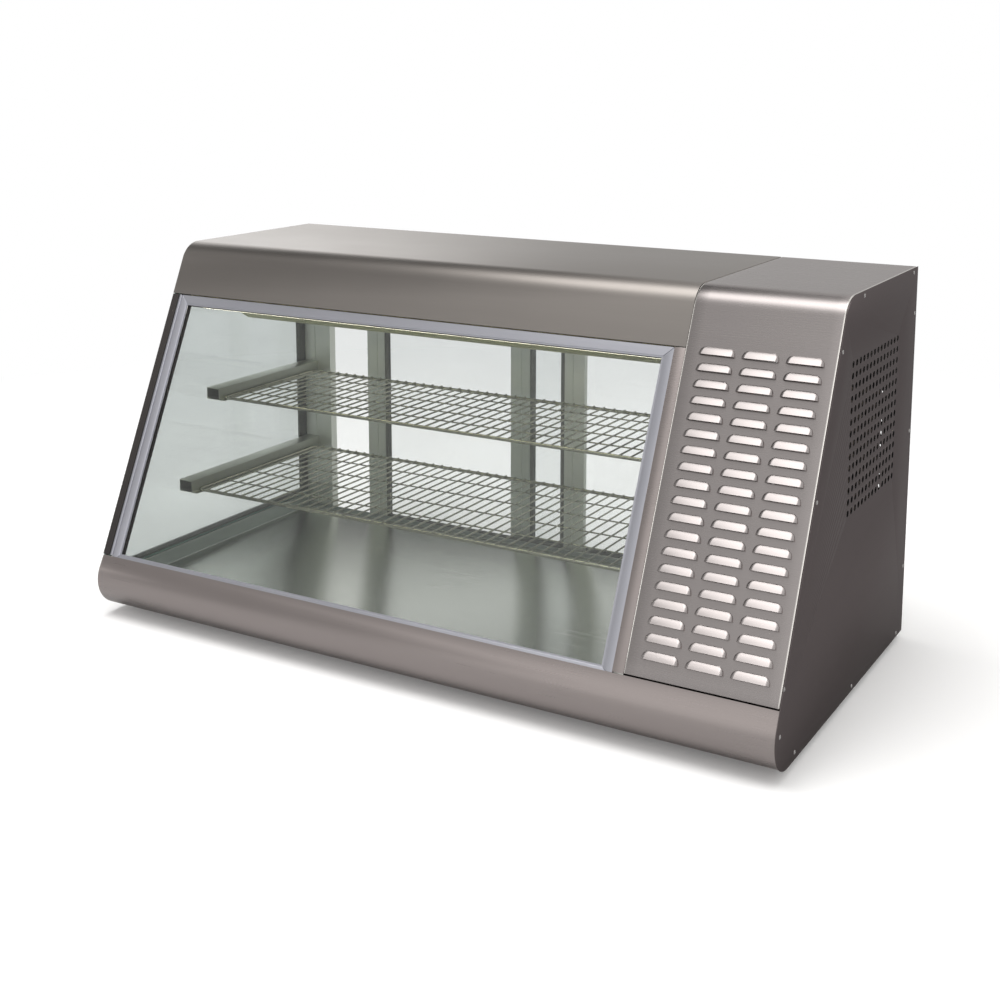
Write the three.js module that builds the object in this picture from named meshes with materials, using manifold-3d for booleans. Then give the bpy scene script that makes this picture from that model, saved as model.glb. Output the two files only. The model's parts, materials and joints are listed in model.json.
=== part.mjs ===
// Countertop refrigerated food display case with a sloped front and a machine compartment on the right.
// Millimetres, +Z up. The origin is on the counter, under the middle of the case. +X is the customer's
// right, and +Y points to the operator's side, where the sliding doors are.

import * as THREE from 'three';
import { ConvexGeometry } from 'three/addons/geometries/ConvexGeometry.js';
import { mergeVertices } from 'three/addons/utils/BufferGeometryUtils.js';
import Module from 'manifold-3d';

const wasm = await Module();
wasm.setup();

// Driving dimensions of the whole case.
const WIDTH = 1200;
const DEPTH = 600;
const FOOT_HEIGHT = 12;
const BODY_HEIGHT = 600;
const SHEET = 1.5;
const GAP = 0.3;
const LEFT = -WIDTH / 2;
const RIGHT = WIDTH / 2;
const REAR = DEPTH / 2;
const BASE = FOOT_HEIGHT;
const TOP = FOOT_HEIGHT + BODY_HEIGHT;
const FOOT = { topRadius: 20, bottomRadius: 17, x: 540, frontY: -160, rearY: 250 };

// Solids that form one body are joined with this much overlap.
const LAP = 1;

// The sloped front: a plane that leans back from the apron's top edge to the hood's lower edge.
const TILT = THREE.MathUtils.degToRad(24.62);
const APRON_TOP_Y = -282.3;
const APRON_TOP_Z = 105;
const SLOPE_LENGTH = 464;
const TOP_BEND = 44;
const BOTTOM_BEND = 50;
const COVER_BEND = 46;
const SIDE_BOTTOM_BEND = 50.5;
const APRON_REAR_Y = -200;

// The machine compartment's cover and side stand this far in front of the sloped plane.
const PROUD = 3;
const PARTITION_X = 358.2;
const PARTITION_THICKNESS = 15.2;
const PARTITION_INSET = 4;
const PARTITION_REAR = 297.5;
const HOOD_RIGHT = 374.5;
const COVER_LEFT = 375.2;
const COVER_RIGHT = RIGHT - SHEET - GAP;
const COVER_LOW = 2;
const COVER_REAR = 298.2;
const COVER_EDGE = 10;
const COVER_FOLD = 9;

// The display space.
const DECK_Z = 48;
const DECK_LEFT = -584.2;
const DECK_RIGHT = 355.8;
const DECK_FRONT = -263.5;
const DECK_REAR = 259.5;
const DECK_RIM_Z = 74.2;
const DECK_REAR_RIM_Z = 57;
const REAR_LEDGE_Z = 24.4;
const CEILING_Z = 513.3;
const CEILING_Y = [-66, 296];
const REAR_HEADER_Z = 515;
const BASE_FOAM_Y = [-240, 230];
const HOOD_FOAM = { frontLow: -62, frontHigh: -50, shoulder: -14, drop: 32, rear: 290, clearance: 3 };
const LAMP = { left: -560, right: 330, front: -64, rear: -36, low: 503 };
const DIFFUSER = { margin: 2, low: 499, high: 508 };

// Double glazing: two panes and an edge spacer.
const PANE = 4;
const CAVITY = 6;
const GLASS_BOTTOM = DECK_RIM_Z + GAP;
const GLASS_TOP = 526.5;
const GLASS_REAR = 298;
const LEFT_GLASS_INSET = 2.8;
const LEFT_SPACER_WIDTH = 12;
const FRONT_SPACER_WIDTH = 15;

// The front frame, measured in the sloped plane.
const FRAME_LEFT = -580;
const FRAME_RIGHT = 357;
const FRAME_LOW = -11;
const FRAME_HIGH = 463;
const FRAME_FACE = 15;
const FRAME_SHEET = 1.8;
const FRAME_DEPTH = 20;
const FRAME_RECESS = 2;
const MITRE_GAP = 0.2;

// Trims beside the front frame, as depths below the sloped plane.
const TRIM_LOW = 1;
const EDGE_TRIM_DEPTH = [-1.8, -0.3];
const BEAD_DEPTH = [-20, -1.2];
const FILLER_DEPTH = [-2, -0.5];

// Rear door system.
const TRACK_FRONT = 262;
const TRACK_REAR = 298;
const TRACK_LEFT = -585.4;
const TRACK_RIGHT = 356;
const RIB = 2;
const MIDDLE_RIB_Y = 279.3;
const RIB_HEIGHT = 10;
const SILL_Z = REAR_LEDGE_Z + GAP;
const HEAD_Z = CEILING_Z - GAP;
const DOOR_WIDTH = 470;
const DOOR_THICKNESS = 10;
const DOOR_BOTTOM = SILL_Z + RIB + GAP;
const DOOR_TOP = HEAD_Z - RIB - GAP;
const STILE = 48;
const DOOR_RAIL = 40;
const DOOR_LOW_RAIL = DECK_REAR_RIM_Z - DOOR_BOTTOM;
const DOOR_GLASS = 4.4;
const GLASS_BITE = 8;
const LEFT_DOOR_X = -438;
const LEFT_DOOR_Y = 266.5;
const RIGHT_DOOR_X = -129;
const RIGHT_DOOR_Y = 284;
const LEFT_JAMB_INNER = -525;
const RIGHT_JAMB_INNER = 342;
const HANDLE = { height: 120, width: 18, inset: 15, web: 2, rim: 3, depth: 4.6 };

// Wire shelves and the arms that carry them.
const ARM_WIDTH = 29;
const ARM_HEIGHT = 21;
const ARM_OUTER_LEFT = -583;
const ARM_OUTER_RIGHT = 355.5;
const LEDGE = 12;
const SHELF_HEIGHT = 7.7;
const SHELF_LEFT = -552;
const SHELF_RIGHT = 324.5;
const SHELF_REAR = 243;
const RUNNER = 3;
const RUNNER_COUNT = 43;
const CROSS_COUNT = 4;
const CROSS_HALF = 2;
const SHELF_RIM = 5;
const SHELVES = [
  { name: 'upper', armZ: 326, armFront: -30, shelfFront: -26 },
  { name: 'lower', armZ: 174, armFront: -109, shelfFront: -99 },
];

// Evaporator tray under the ceiling.
const TRAY_FLARE = 15;
const TRAY_FLOOR_Z = 466;
const TRAY_LIP_Z = 500;
const TRAY_END = 8;
const TRAY = { left: -566, right: 340, front: 37, rear: 230 };
const EVAPORATOR = { left: -520, right: 290, front: 80, rear: 205, low: 470, high: 505, fins: 36 };

// Fin slots, as shares of the fin pitch and of the block's depth.
const FIN_SLOT = 0.55;
const FIN_DEPTH = 0.3;

// Louvres of the machine cover.
const LOUVRE = { columns: 3, rows: 19, width: 55, height: 12, rise: 6, skin: 1.3, tip: 5, crown: 4 };
const LOUVRE_PITCH_X = 64.3;
const LOUVRE_PITCH_S = 23.8;
const LOUVRE_FIRST_X = 424.5;
const LOUVRE_FIRST_S = 26.8;

// Perforated field of the right side panel.
const HOLES = { count: 14, radius: 5, sides: 8, pitchY: 17.2, pitchZ: 16.6, firstY: -25, firstZ: 298 };

// Condensing unit.
const FAN_X = 487;
const FAN_Z = 145;
const FAN_BORE = 80;
const FAN_RADIUS = 74;
const FAN_Y = -107;
const HUB = { radius: 22, front: -117, rear: -96 };
const SHAFT = { radius: 4, front: -100, rear: -70, clearance: 0.6 };
const BLADE = { count: 5, root: 18, thickness: 1.6, chord: 34, pitchDeg: 30 };
const MOTOR = { radius: 30, front: -92, rear: -45, boreRear: -68 };
const STRAP = { rear: -57, thickness: 3, halfHeight: 7, inset: 3 };
const SHROUD = { thickness: 2, offset: 0.5, ring: 3, ringRear: -100 };
const COIL = { left: 392, right: 582, front: -165, rear: -125, low: 40, high: 250, fins: 30 };
const COMPRESSOR = { x: 487, y: 150, radius: 65, low: 26, belly: 18, seamLow: 98, seamHigh: 104 };
const COMPRESSOR_DOME = { start: 120, height: 48, seam: 5 };
const COMPRESSOR_PLATE = { halfX: 78, halfY: 60, low: 25, high: 28 };
const MOUNT_PAD = { radius: 9, x: 66, y: 48, low: BASE + SHEET + GAP, high: 26 };

// Service panel at the rear of the machine compartment, and its controls.
const PANEL_Y = 290;
const PANEL_BACK = PANEL_Y + SHEET;
const SERVICE_LEFT = 377.2;
const SERVICE_LOW = 75;
const THERMOSTAT = { left: 424, right: 496, low: 523, high: 549, bezel: 4, face: 3.2, front: 235 };
const BUTTON = { radius: 4, clearance: 0.6, length: 4, depth: 2.7, seat: 2.5 };
const KEYS = { firstX: 38, pitch: 14, lift: 7 };
const SWITCH = { x: 539, z: 536, half: 13, cavity: 10, front: 262, well: 284, lip: 2, face: 2.4 };
const PADDLE = { pivotY: 290, x: 9.5, z: 9, back: 3, front: 4, tiltDeg: -10 };
const INLET = { left: 472, right: 502, low: 95, high: 115, front: 262, recess: 275, face: 2.2 };
const INLET_WALL = { x: 3, z: 2 };
const INLET_FLANGE = { x: 10, z: 3 };
const VENT = { left: 417, right: 557, firstZ: 160, pitch: 22, height: 7, count: 12 };

// Materials.
function finish(color, roughness, metalness) {
  return new THREE.MeshStandardMaterial({ color, roughness, metalness });
}

function clear(color, opacity) {
  const look = { roughness: 0.05, metalness: 0, transparent: true };
  return new THREE.MeshStandardMaterial({ color, opacity, ...look });
}

const stainless = finish(0x9b948e, 0.34, 1);
const stainlessTop = finish(0xa8a5a2, 0.36, 1);
const stainlessDark = finish(0x76706d, 0.38, 1);
const linerSteel = finish(0xa3a8a2, 0.3, 1);
const galvanised = finish(0x8f9496, 0.5, 0.9);
const satinAluminium = finish(0xb4b5c2, 0.32, 0.9);
const doorAluminium = finish(0x8a8d84, 0.4, 0.8);
const armSteel = finish(0x7f8379, 0.42, 0.8);
const chromeWire = finish(0xa9a994, 0.22, 1);
const glass = clear(0xc9d3cf, 0.3);
const blackSeal = finish(0x2b2624, 0.6, 0);
const foam = finish(0xd9cfa6, 0.9, 0);
const whitePlastic = finish(0xeeeee6, 0.5, 0);
const blackPlastic = finish(0x1d1d1f, 0.45, 0);
const greyPlastic = finish(0x4b4d50, 0.5, 0);
const blackEnamel = finish(0x17181a, 0.4, 0.2);
const finAluminium = finish(0xb9bdc0, 0.45, 0.9);
const rubber = finish(0x1b1b1b, 0.85, 0);

// Solids: closed meshes that can be joined and cut.
function solidOf(geometry) {
  const bare = geometry.clone();
  bare.deleteAttribute('normal');
  bare.deleteAttribute('uv');
  const merged = mergeVertices(bare, 1e-4);
  const vertProperties = new Float32Array(merged.attributes.position.array);
  const triVerts = new Uint32Array(merged.index.array);
  return new wasm.Manifold(new wasm.Mesh({ numProp: 3, vertProperties, triVerts }));
}

function geometryOf(solid) {
  const { vertProperties, triVerts } = solid.getMesh();
  const geometry = new THREE.BufferGeometry();
  geometry.setAttribute('position', new THREE.BufferAttribute(vertProperties, 3));
  geometry.setIndex(new THREE.BufferAttribute(triVerts, 1));
  geometry.computeVertexNormals();
  return geometry;
}

function join(geometries) {
  return geometries.map(solidOf).reduce((whole, piece) => whole.add(piece));
}

function cut(solid, geometries) {
  return geometries.map(solidOf).reduce((rest, piece) => rest.subtract(piece), solid);
}

// A box between two corners.
function block([x0, x1], [y0, y1], [z0, z1]) {
  const geometry = new THREE.BoxGeometry(x1 - x0, y1 - y0, z1 - z0);
  return geometry.translate((x0 + x1) / 2, (y0 + y1) / 2, (z0 + z1) / 2);
}

// A closed rectangle, as a shape or as a hole of one.
function rectangle([x0, x1], [y0, y1], Kind = THREE.Shape) {
  const path = new Kind();
  path.moveTo(x0, y0);
  path.lineTo(x1, y0);
  path.lineTo(x1, y1);
  path.lineTo(x0, y1);
  path.closePath();
  return path;
}

function extrude(shape, depth) {
  return new THREE.ExtrudeGeometry(shape, { depth, bevelEnabled: false, curveSegments: 8 });
}

// A shape drawn in (Y, Z) and extruded from x0 to x1.
function alongX(shape, x0, x1) {
  const basis = new THREE.Matrix4();
  basis.makeBasis(new THREE.Vector3(0, 1, 0), new THREE.Vector3(0, 0, 1), new THREE.Vector3(1, 0, 0));
  return extrude(shape, x1 - x0).applyMatrix4(basis).translate(x0, 0, 0);
}

// A cylinder with its axis along Y.
function rod(x, z, radius, y0, y1, sides = 24) {
  const geometry = new THREE.CylinderGeometry(radius, radius, y1 - y0, sides);
  return geometry.translate(x, (y0 + y1) / 2, z);
}

// The sloped plane: s runs up it from the apron's top edge, and inset goes into the case.
const SLOPE_NORMAL = Math.PI - TILT;

function frontY(z, inset = 0) {
  return APRON_TOP_Y + (z - APRON_TOP_Z) * Math.tan(TILT) + inset / Math.cos(TILT);
}

function slopePoint(s, inset) {
  const y = APRON_TOP_Y + s * Math.sin(TILT) + inset * Math.cos(TILT);
  const z = APRON_TOP_Z + s * Math.cos(TILT) - inset * Math.sin(TILT);
  return [y, z];
}

const slopeGroup = new THREE.Group();
slopeGroup.position.set(0, APRON_TOP_Y, APRON_TOP_Z);
slopeGroup.rotation.x = Math.PI / 2 - TILT;
slopeGroup.updateMatrix();

function fromSlope(geometry) {
  return geometry.applyMatrix4(slopeGroup.matrix);
}

// Centres of the bends that join the sloped plane to the top and to the underside.
function topCentre(level, inset, radius) {
  const z = level - radius;
  return [frontY(z, inset + radius), z];
}

function bottomCentre(level, inset, radius) {
  const z = level + radius;
  return [frontY(z, inset + radius), z];
}

// The section of a bent sheet that covers the top and the upper part of the slope.
function topSheet({ inset, radius, thickness, bottom, rear, rearLow }) {
  const [y, z] = topCentre(TOP, inset, radius);
  const shape = new THREE.Shape();
  shape.moveTo(rear, rearLow);
  shape.lineTo(rear, TOP);
  shape.absarc(y, z, radius, Math.PI / 2, SLOPE_NORMAL, false);
  shape.lineTo(...slopePoint(bottom, inset));
  shape.lineTo(...slopePoint(bottom, inset + thickness));
  shape.absarc(y, z, radius - thickness, SLOPE_NORMAL, Math.PI / 2, true);
  shape.lineTo(rear - thickness, TOP - thickness);
  shape.lineTo(rear - thickness, rearLow);
  shape.closePath();
  return shape;
}

// The whole side outline of the case, with a bend at the top and a bend at the bottom of the front.
function caseOutline({ inset, low, high, rear, lowBend, highBend }) {
  const shape = new THREE.Shape();
  shape.moveTo(rear, low);
  shape.lineTo(rear, high);
  shape.absarc(...topCentre(high, inset, highBend), highBend, Math.PI / 2, SLOPE_NORMAL, false);
  shape.absarc(...bottomCentre(low, inset, lowBend), lowBend, SLOPE_NORMAL, 1.5 * Math.PI, false);
  shape.closePath();
  return shape;
}

const displayCase = new THREE.Group();
displayCase.add(slopeGroup);

function add(name, shape, material, parent = displayCase) {
  const geometry = shape.isBufferGeometry ? shape : geometryOf(shape);
  const mesh = new THREE.Mesh(geometry, material);
  mesh.name = name;
  parent.add(mesh);
  return mesh;
}

// Base: a pan with a folded left side and rear wall, on four feet. Behind the doors the wall is a low ledge
// for the sill track; beside them it is as high as the deck's left rim.
function baseTray() {
  const cornerX = TRACK_LEFT - GAP;
  const low = BASE + SHEET + GAP;
  const inset = SHEET + GAP;
  const side = caseOutline({
    inset,
    low,
    high: TOP - inset,
    rear: REAR,
    lowBend: BOTTOM_BEND - inset,
    highBend: TOP_BEND - inset,
  });
  const sideHeight = block([LEFT, LEFT + SHEET], [-REAR, REAR], [BASE, DECK_RIM_Z]);
  const leftSide = solidOf(alongX(side, LEFT, LEFT + SHEET)).intersect(solidOf(sideHeight));
  const pan = join([
    block([LEFT, COVER_RIGHT], [APRON_REAR_Y + GAP, REAR], [BASE, BASE + SHEET]),
    block([LEFT, LEFT + SHEET], [APRON_REAR_Y + GAP, REAR], [BASE, low + SHEET]),
    block([LEFT, COVER_RIGHT], [REAR - SHEET, REAR], [BASE, DECK_RIM_Z]),
    block([LEFT + SHEET, TRACK_RIGHT], [TRACK_FRONT, REAR], [DECK_RIM_Z - SHEET, DECK_RIM_Z]),
  ]);
  const doorway = block([cornerX, TRACK_RIGHT], [TRACK_FRONT - LAP, REAR + LAP], [REAR_LEDGE_Z, TOP]);
  const ledgeZ = [REAR_LEDGE_Z - SHEET, REAR_LEDGE_Z];
  const ledge = block([cornerX, TRACK_RIGHT], [TRACK_FRONT, REAR], ledgeZ);
  return cut(pan.add(leftSide), [doorway]).add(solidOf(ledge));
}

add('base_tray', baseTray(), galvanised);

const footHeight = FOOT_HEIGHT - GAP;
for (const [end, x] of [['left', -FOOT.x], ['right', FOOT.x]]) {
  for (const [side, y] of [['front', FOOT.frontY], ['rear', FOOT.rearY]]) {
    const foot = new THREE.CylinderGeometry(FOOT.topRadius, FOOT.bottomRadius, footHeight, 24);
    add(`foot_${side}_${end}`, foot.rotateX(Math.PI / 2), rubber).position.set(x, y, footHeight / 2);
  }
}

// Apron: one sheet from the foot of the sloped front, rolled under to the pan.
function apronSection() {
  const centre = bottomCentre(BASE, 0, BOTTOM_BEND);
  const shape = new THREE.Shape();
  shape.moveTo(...slopePoint(0, 0));
  shape.absarc(...centre, BOTTOM_BEND, SLOPE_NORMAL, 1.5 * Math.PI, false);
  shape.lineTo(APRON_REAR_Y, BASE);
  shape.lineTo(APRON_REAR_Y, BASE + SHEET);
  shape.absarc(...centre, BOTTOM_BEND - SHEET, 1.5 * Math.PI, SLOPE_NORMAL, true);
  shape.lineTo(...slopePoint(0, SHEET));
  shape.closePath();
  return shape;
}

add('front_apron', alongX(apronSection(), LEFT, COVER_RIGHT), stainless);

// Deck: a pan with upstands, lower at the rear and folded down there to hide the foam, and a rim on the left
// that the side glazing stands on.
function displayDeck() {
  const outer = block([DECK_LEFT, DECK_RIGHT], [DECK_FRONT, DECK_REAR], [DECK_Z - SHEET, DECK_RIM_Z]);
  const inner = block(
    [DECK_LEFT + SHEET, DECK_RIGHT - SHEET],
    [DECK_FRONT + SHEET, DECK_REAR - SHEET],
    [DECK_Z, TOP],
  );
  const rimZ = [DECK_RIM_Z - SHEET, DECK_RIM_Z];
  const rim = block([LEFT + SHEET + GAP, DECK_LEFT + SHEET], [DECK_FRONT, DECK_REAR], rimZ);
  const lowRear = block(
    [DECK_LEFT + SHEET, DECK_RIGHT - SHEET],
    [DECK_REAR - SHEET - LAP, DECK_REAR + LAP],
    [DECK_REAR_RIM_Z, TOP],
  );
  const skirt = block([DECK_LEFT, DECK_RIGHT], [DECK_REAR - SHEET, DECK_REAR], [SILL_Z, DECK_Z]);
  return cut(solidOf(outer), [inner, lowRear]).add(solidOf(rim)).add(solidOf(skirt));
}

add('display_deck', displayDeck(), linerSteel);
const linerX = [DECK_LEFT + GAP, DECK_RIGHT - GAP];
const baseFoamZ = [BASE + SHEET + GAP, DECK_Z - SHEET - GAP];
add('base_insulation', block(linerX, BASE_FOAM_Y, baseFoamZ), foam);

// Left side: two panes, the spacer between them and the dark trim along their front edge.
function leftGlassOutline(margin, Kind = THREE.Shape) {
  const inset = LEFT_GLASS_INSET + margin;
  const low = GLASS_BOTTOM + margin;
  const high = GLASS_TOP - margin;
  const path = new Kind();
  path.moveTo(frontY(low, inset), low);
  path.lineTo(GLASS_REAR - margin, low);
  path.lineTo(GLASS_REAR - margin, high);
  path.lineTo(frontY(high, inset), high);
  path.closePath();
  return path;
}

function leftSpacer() {
  const shape = leftGlassOutline(0);
  shape.holes.push(leftGlassOutline(LEFT_SPACER_WIDTH, THREE.Path));
  return alongX(shape, LEFT + PANE + GAP, LEFT + PANE + CAVITY - GAP);
}

const leftInnerFace = LEFT + 2 * PANE + CAVITY;
add('left_glass_outer', alongX(leftGlassOutline(0), LEFT, LEFT + PANE), glass);
add('left_glass_inner', alongX(leftGlassOutline(0), leftInnerFace - PANE, leftInnerFace), glass);
add('left_glass_spacer', leftSpacer(), blackSeal);
const edgeTrim = block([LEFT, leftInnerFace], [TRIM_LOW, FRAME_HIGH], EDGE_TRIM_DEPTH);
add('left_glass_edge_trim', edgeTrim, blackSeal, slopeGroup);

// A slim post closes the corner between the side glazing and the front frame.
const beadX = [leftInnerFace + GAP, FRAME_LEFT - GAP];
const bead = block(beadX, [TRIM_LOW, FRAME_HIGH], BEAD_DEPTH);
add('left_corner_bead', bead, satinAluminium, slopeGroup);

// Front frame: four mitred angle sections, drawn in the sloped plane.
function frameMember(length) {
  const depth = [-(FRAME_RECESS + FRAME_DEPTH), -FRAME_RECESS];
  const face = block([0, length], [0, FRAME_FACE], [-(FRAME_RECESS + FRAME_SHEET), -FRAME_RECESS]);
  const wall = block([0, length], [0, FRAME_SHEET], depth);
  const mitre = new THREE.Shape();
  mitre.moveTo(MITRE_GAP, 0);
  mitre.lineTo(length - MITRE_GAP, 0);
  mitre.lineTo(length - MITRE_GAP - FRAME_FACE, FRAME_FACE);
  mitre.lineTo(MITRE_GAP + FRAME_FACE, FRAME_FACE);
  mitre.closePath();
  const limits = extrude(mitre, FRAME_DEPTH + FRAME_RECESS).translate(0, 0, depth[0]);
  return join([face, wall]).intersect(solidOf(limits));
}

const frameSpan = FRAME_RIGHT - FRAME_LEFT;
const frameRise = FRAME_HIGH - FRAME_LOW;
const frameMembers = [
  { name: 'front_frame_bottom', length: frameSpan, corner: [FRAME_LEFT, FRAME_LOW], turns: 0 },
  { name: 'front_frame_right', length: frameRise, corner: [FRAME_RIGHT, FRAME_LOW], turns: 1 },
  { name: 'front_frame_top', length: frameSpan, corner: [FRAME_RIGHT, FRAME_HIGH], turns: 2 },
  { name: 'front_frame_left', length: frameRise, corner: [FRAME_LEFT, FRAME_HIGH], turns: 3 },
];
for (const { name, length, corner, turns } of frameMembers) {
  const member = add(name, frameMember(length), satinAluminium, slopeGroup);
  member.position.set(...corner, 0);
  member.rotation.z = (turns * Math.PI) / 2;
}

// Front glazing, behind the frame's face.
const frontGlassX = [FRAME_LEFT + FRAME_SHEET + GAP, FRAME_RIGHT - FRAME_SHEET - GAP];
const frontGlassS = [FRAME_LOW + FRAME_SHEET + GAP, FRAME_HIGH - FRAME_SHEET - GAP];
const frontGlassFace = -(FRAME_RECESS + FRAME_SHEET + GAP);

function frontSpacer() {
  const shape = rectangle(frontGlassX, frontGlassS);
  const inside = ([low, high]) => [low + FRONT_SPACER_WIDTH, high - FRONT_SPACER_WIDTH];
  shape.holes.push(rectangle(inside(frontGlassX), inside(frontGlassS), THREE.Path));
  return extrude(shape, CAVITY - 2 * GAP).translate(0, 0, frontGlassFace - PANE - CAVITY + GAP);
}

const innerPaneFace = frontGlassFace - PANE - CAVITY;
const outerPane = block(frontGlassX, frontGlassS, [frontGlassFace - PANE, frontGlassFace]);
const innerPane = block(frontGlassX, frontGlassS, [innerPaneFace - PANE, innerPaneFace]);
add('front_glass_outer', outerPane, glass, slopeGroup);
add('front_glass_inner', innerPane, glass, slopeGroup);
add('front_glass_spacer', frontSpacer(), blackSeal, slopeGroup);

const fillerS = [TRIM_LOW, SLOPE_LENGTH - TRIM_LOW];
const filler = block([FRAME_RIGHT + GAP, HOOD_RIGHT], fillerS, FILLER_DEPTH);
add('front_filler_strip', filler, stainless, slopeGroup);

// Hood: a sheet over the display with a closed left end.
function hood() {
  const sheet = topSheet({
    inset: 0,
    radius: TOP_BEND,
    thickness: SHEET,
    bottom: SLOPE_LENGTH + GAP,
    rear: REAR,
    rearLow: REAR_HEADER_Z,
  });
  const outline = caseOutline({
    inset: 0,
    low: BASE,
    high: TOP,
    rear: REAR,
    lowBend: BOTTOM_BEND,
    highBend: TOP_BEND,
  });
  const above = block([LEFT, LEFT + SHEET], [-REAR, REAR], [GLASS_TOP + GAP, TOP]);
  const leftEnd = solidOf(alongX(outline, LEFT, LEFT + SHEET)).intersect(solidOf(above));
  return solidOf(alongX(sheet, LEFT, HOOD_RIGHT)).add(leftEnd);
}

add('hood', hood(), stainlessTop);
add('ceiling_panel', block(linerX, CEILING_Y, [CEILING_Z, CEILING_Z + SHEET]), linerSteel);

function hoodInsulation() {
  const shape = new THREE.Shape();
  const low = CEILING_Z + SHEET + GAP;
  const high = TOP - SHEET - HOOD_FOAM.clearance;
  shape.moveTo(HOOD_FOAM.frontLow, low);
  shape.lineTo(HOOD_FOAM.rear, low);
  shape.lineTo(HOOD_FOAM.rear, high);
  shape.lineTo(HOOD_FOAM.shoulder, high);
  shape.lineTo(HOOD_FOAM.frontHigh, high - HOOD_FOAM.drop);
  shape.closePath();
  return alongX(shape, ...linerX);
}

add('hood_insulation', hoodInsulation(), foam);

// Canopy light behind the frame's top member.
function lampBlock(margin, z) {
  const x = [LAMP.left + margin, LAMP.right - margin];
  return block(x, [LAMP.front + margin, LAMP.rear - margin], z);
}

const lampHollow = lampBlock(SHEET, [DIFFUSER.low, HEAD_Z - SHEET]);
const lampChannel = cut(solidOf(lampBlock(0, [LAMP.low, HEAD_Z])), [lampHollow]);
add('lamp_housing', lampChannel, satinAluminium);
add('lamp_diffuser', lampBlock(DIFFUSER.margin, [DIFFUSER.low, DIFFUSER.high]), whitePlastic);

// Evaporator: a tray with flared sides, hung by its end walls from the ceiling, and a finned coil.
function flaredTub(margin, high) {
  const bevel = TRAY_FLARE + margin * (Math.SQRT2 - 1);
  const ring = (by, z) => [
    new THREE.Vector3(TRAY.left + by, TRAY.front + by, z),
    new THREE.Vector3(TRAY.right - by, TRAY.front + by, z),
    new THREE.Vector3(TRAY.right - by, TRAY.rear - by, z),
    new THREE.Vector3(TRAY.left + by, TRAY.rear - by, z),
  ];
  return new ConvexGeometry([
    ...ring(bevel, TRAY_FLOOR_Z + margin),
    ...ring(margin, TRAY_FLOOR_Z + bevel),
    ...ring(margin, high),
  ]);
}

function evaporatorTray() {
  const x = [TRAY.left + TRAY_END, TRAY.right - TRAY_END];
  const airGap = block(x, [TRAY.front - LAP, TRAY.rear + LAP], [TRAY_LIP_Z, TOP]);
  return cut(solidOf(flaredTub(0, HEAD_Z)), [flaredTub(SHEET, TOP), airGap]);
}

// A block of fins: slots are cut into the front face of a plan outline.
function finBlock({ left, right, front, rear, low, high, fins }) {
  const pitch = (right - left) / fins;
  const slot = pitch * FIN_SLOT;
  const depth = (rear - front) * FIN_DEPTH;
  const shape = new THREE.Shape();
  shape.moveTo(left, rear);
  shape.lineTo(left, front);
  for (let i = 0; i < fins; i += 1) {
    const start = left + i * pitch + (pitch - slot) / 2;
    shape.lineTo(start, front);
    shape.lineTo(start, front + depth);
    shape.lineTo(start + slot, front + depth);
    shape.lineTo(start + slot, front);
  }
  shape.lineTo(right, front);
  shape.lineTo(right, rear);
  shape.closePath();
  return extrude(shape, high - low).translate(0, 0, low);
}

add('evaporator_tray', evaporatorTray(), linerSteel);
add('evaporator_coil', finBlock(EVAPORATOR), finAluminium);

// Insulated wall between the display and the machine compartment.
const partitionOutline = caseOutline({
  inset: PARTITION_INSET,
  low: BASE + PARTITION_INSET,
  high: TOP - PARTITION_INSET,
  rear: PARTITION_REAR,
  lowBend: BOTTOM_BEND - PARTITION_INSET,
  highBend: TOP_BEND - PARTITION_INSET,
});
const partition = alongX(partitionOutline, PARTITION_X, PARTITION_X + PARTITION_THICKNESS);
add('partition_wall', partition, linerSteel);

// Rear door system: sill and head tracks with two grooves each, two jambs and two sliding doors.
function track(floorZ, direction) {
  const ribY = [TRACK_FRONT, MIDDLE_RIB_Y, TRACK_REAR - RIB];
  const span = (from, to) => [Math.min(from, to), Math.max(from, to)];
  const floor = span(floorZ, floorZ + direction * RIB);
  const height = span(floorZ, floorZ + direction * (RIB + RIB_HEIGHT));
  const ribs = ribY.map((y) => block([TRACK_LEFT, TRACK_RIGHT], [y, y + RIB], height));
  return join([block([TRACK_LEFT, TRACK_RIGHT], [TRACK_FRONT, TRACK_REAR], floor), ...ribs]);
}

add('rear_sill_track', track(SILL_Z, 1), doorAluminium);
add('rear_top_track', track(HEAD_Z, -1), doorAluminium);

const jambZ = [SILL_Z + RIB + RIB_HEIGHT + GAP, HEAD_Z - RIB - RIB_HEIGHT - GAP];

function jamb(outerX, innerX) {
  const x = [Math.min(outerX, innerX), Math.max(outerX, innerX)];
  const hollowX = outerX < innerX ? [outerX - LAP, innerX - SHEET] : [innerX + SHEET, outerX + LAP];
  const shell = solidOf(block(x, [TRACK_FRONT, TRACK_REAR], jambZ));
  return cut(shell, [block(hollowX, [TRACK_FRONT + SHEET, TRACK_REAR - SHEET], [0, TOP])]);
}

add('left_jamb', jamb(TRACK_LEFT, LEFT_JAMB_INNER), doorAluminium);
add('right_jamb', jamb(TRACK_RIGHT, RIGHT_JAMB_INNER), doorAluminium);

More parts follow.
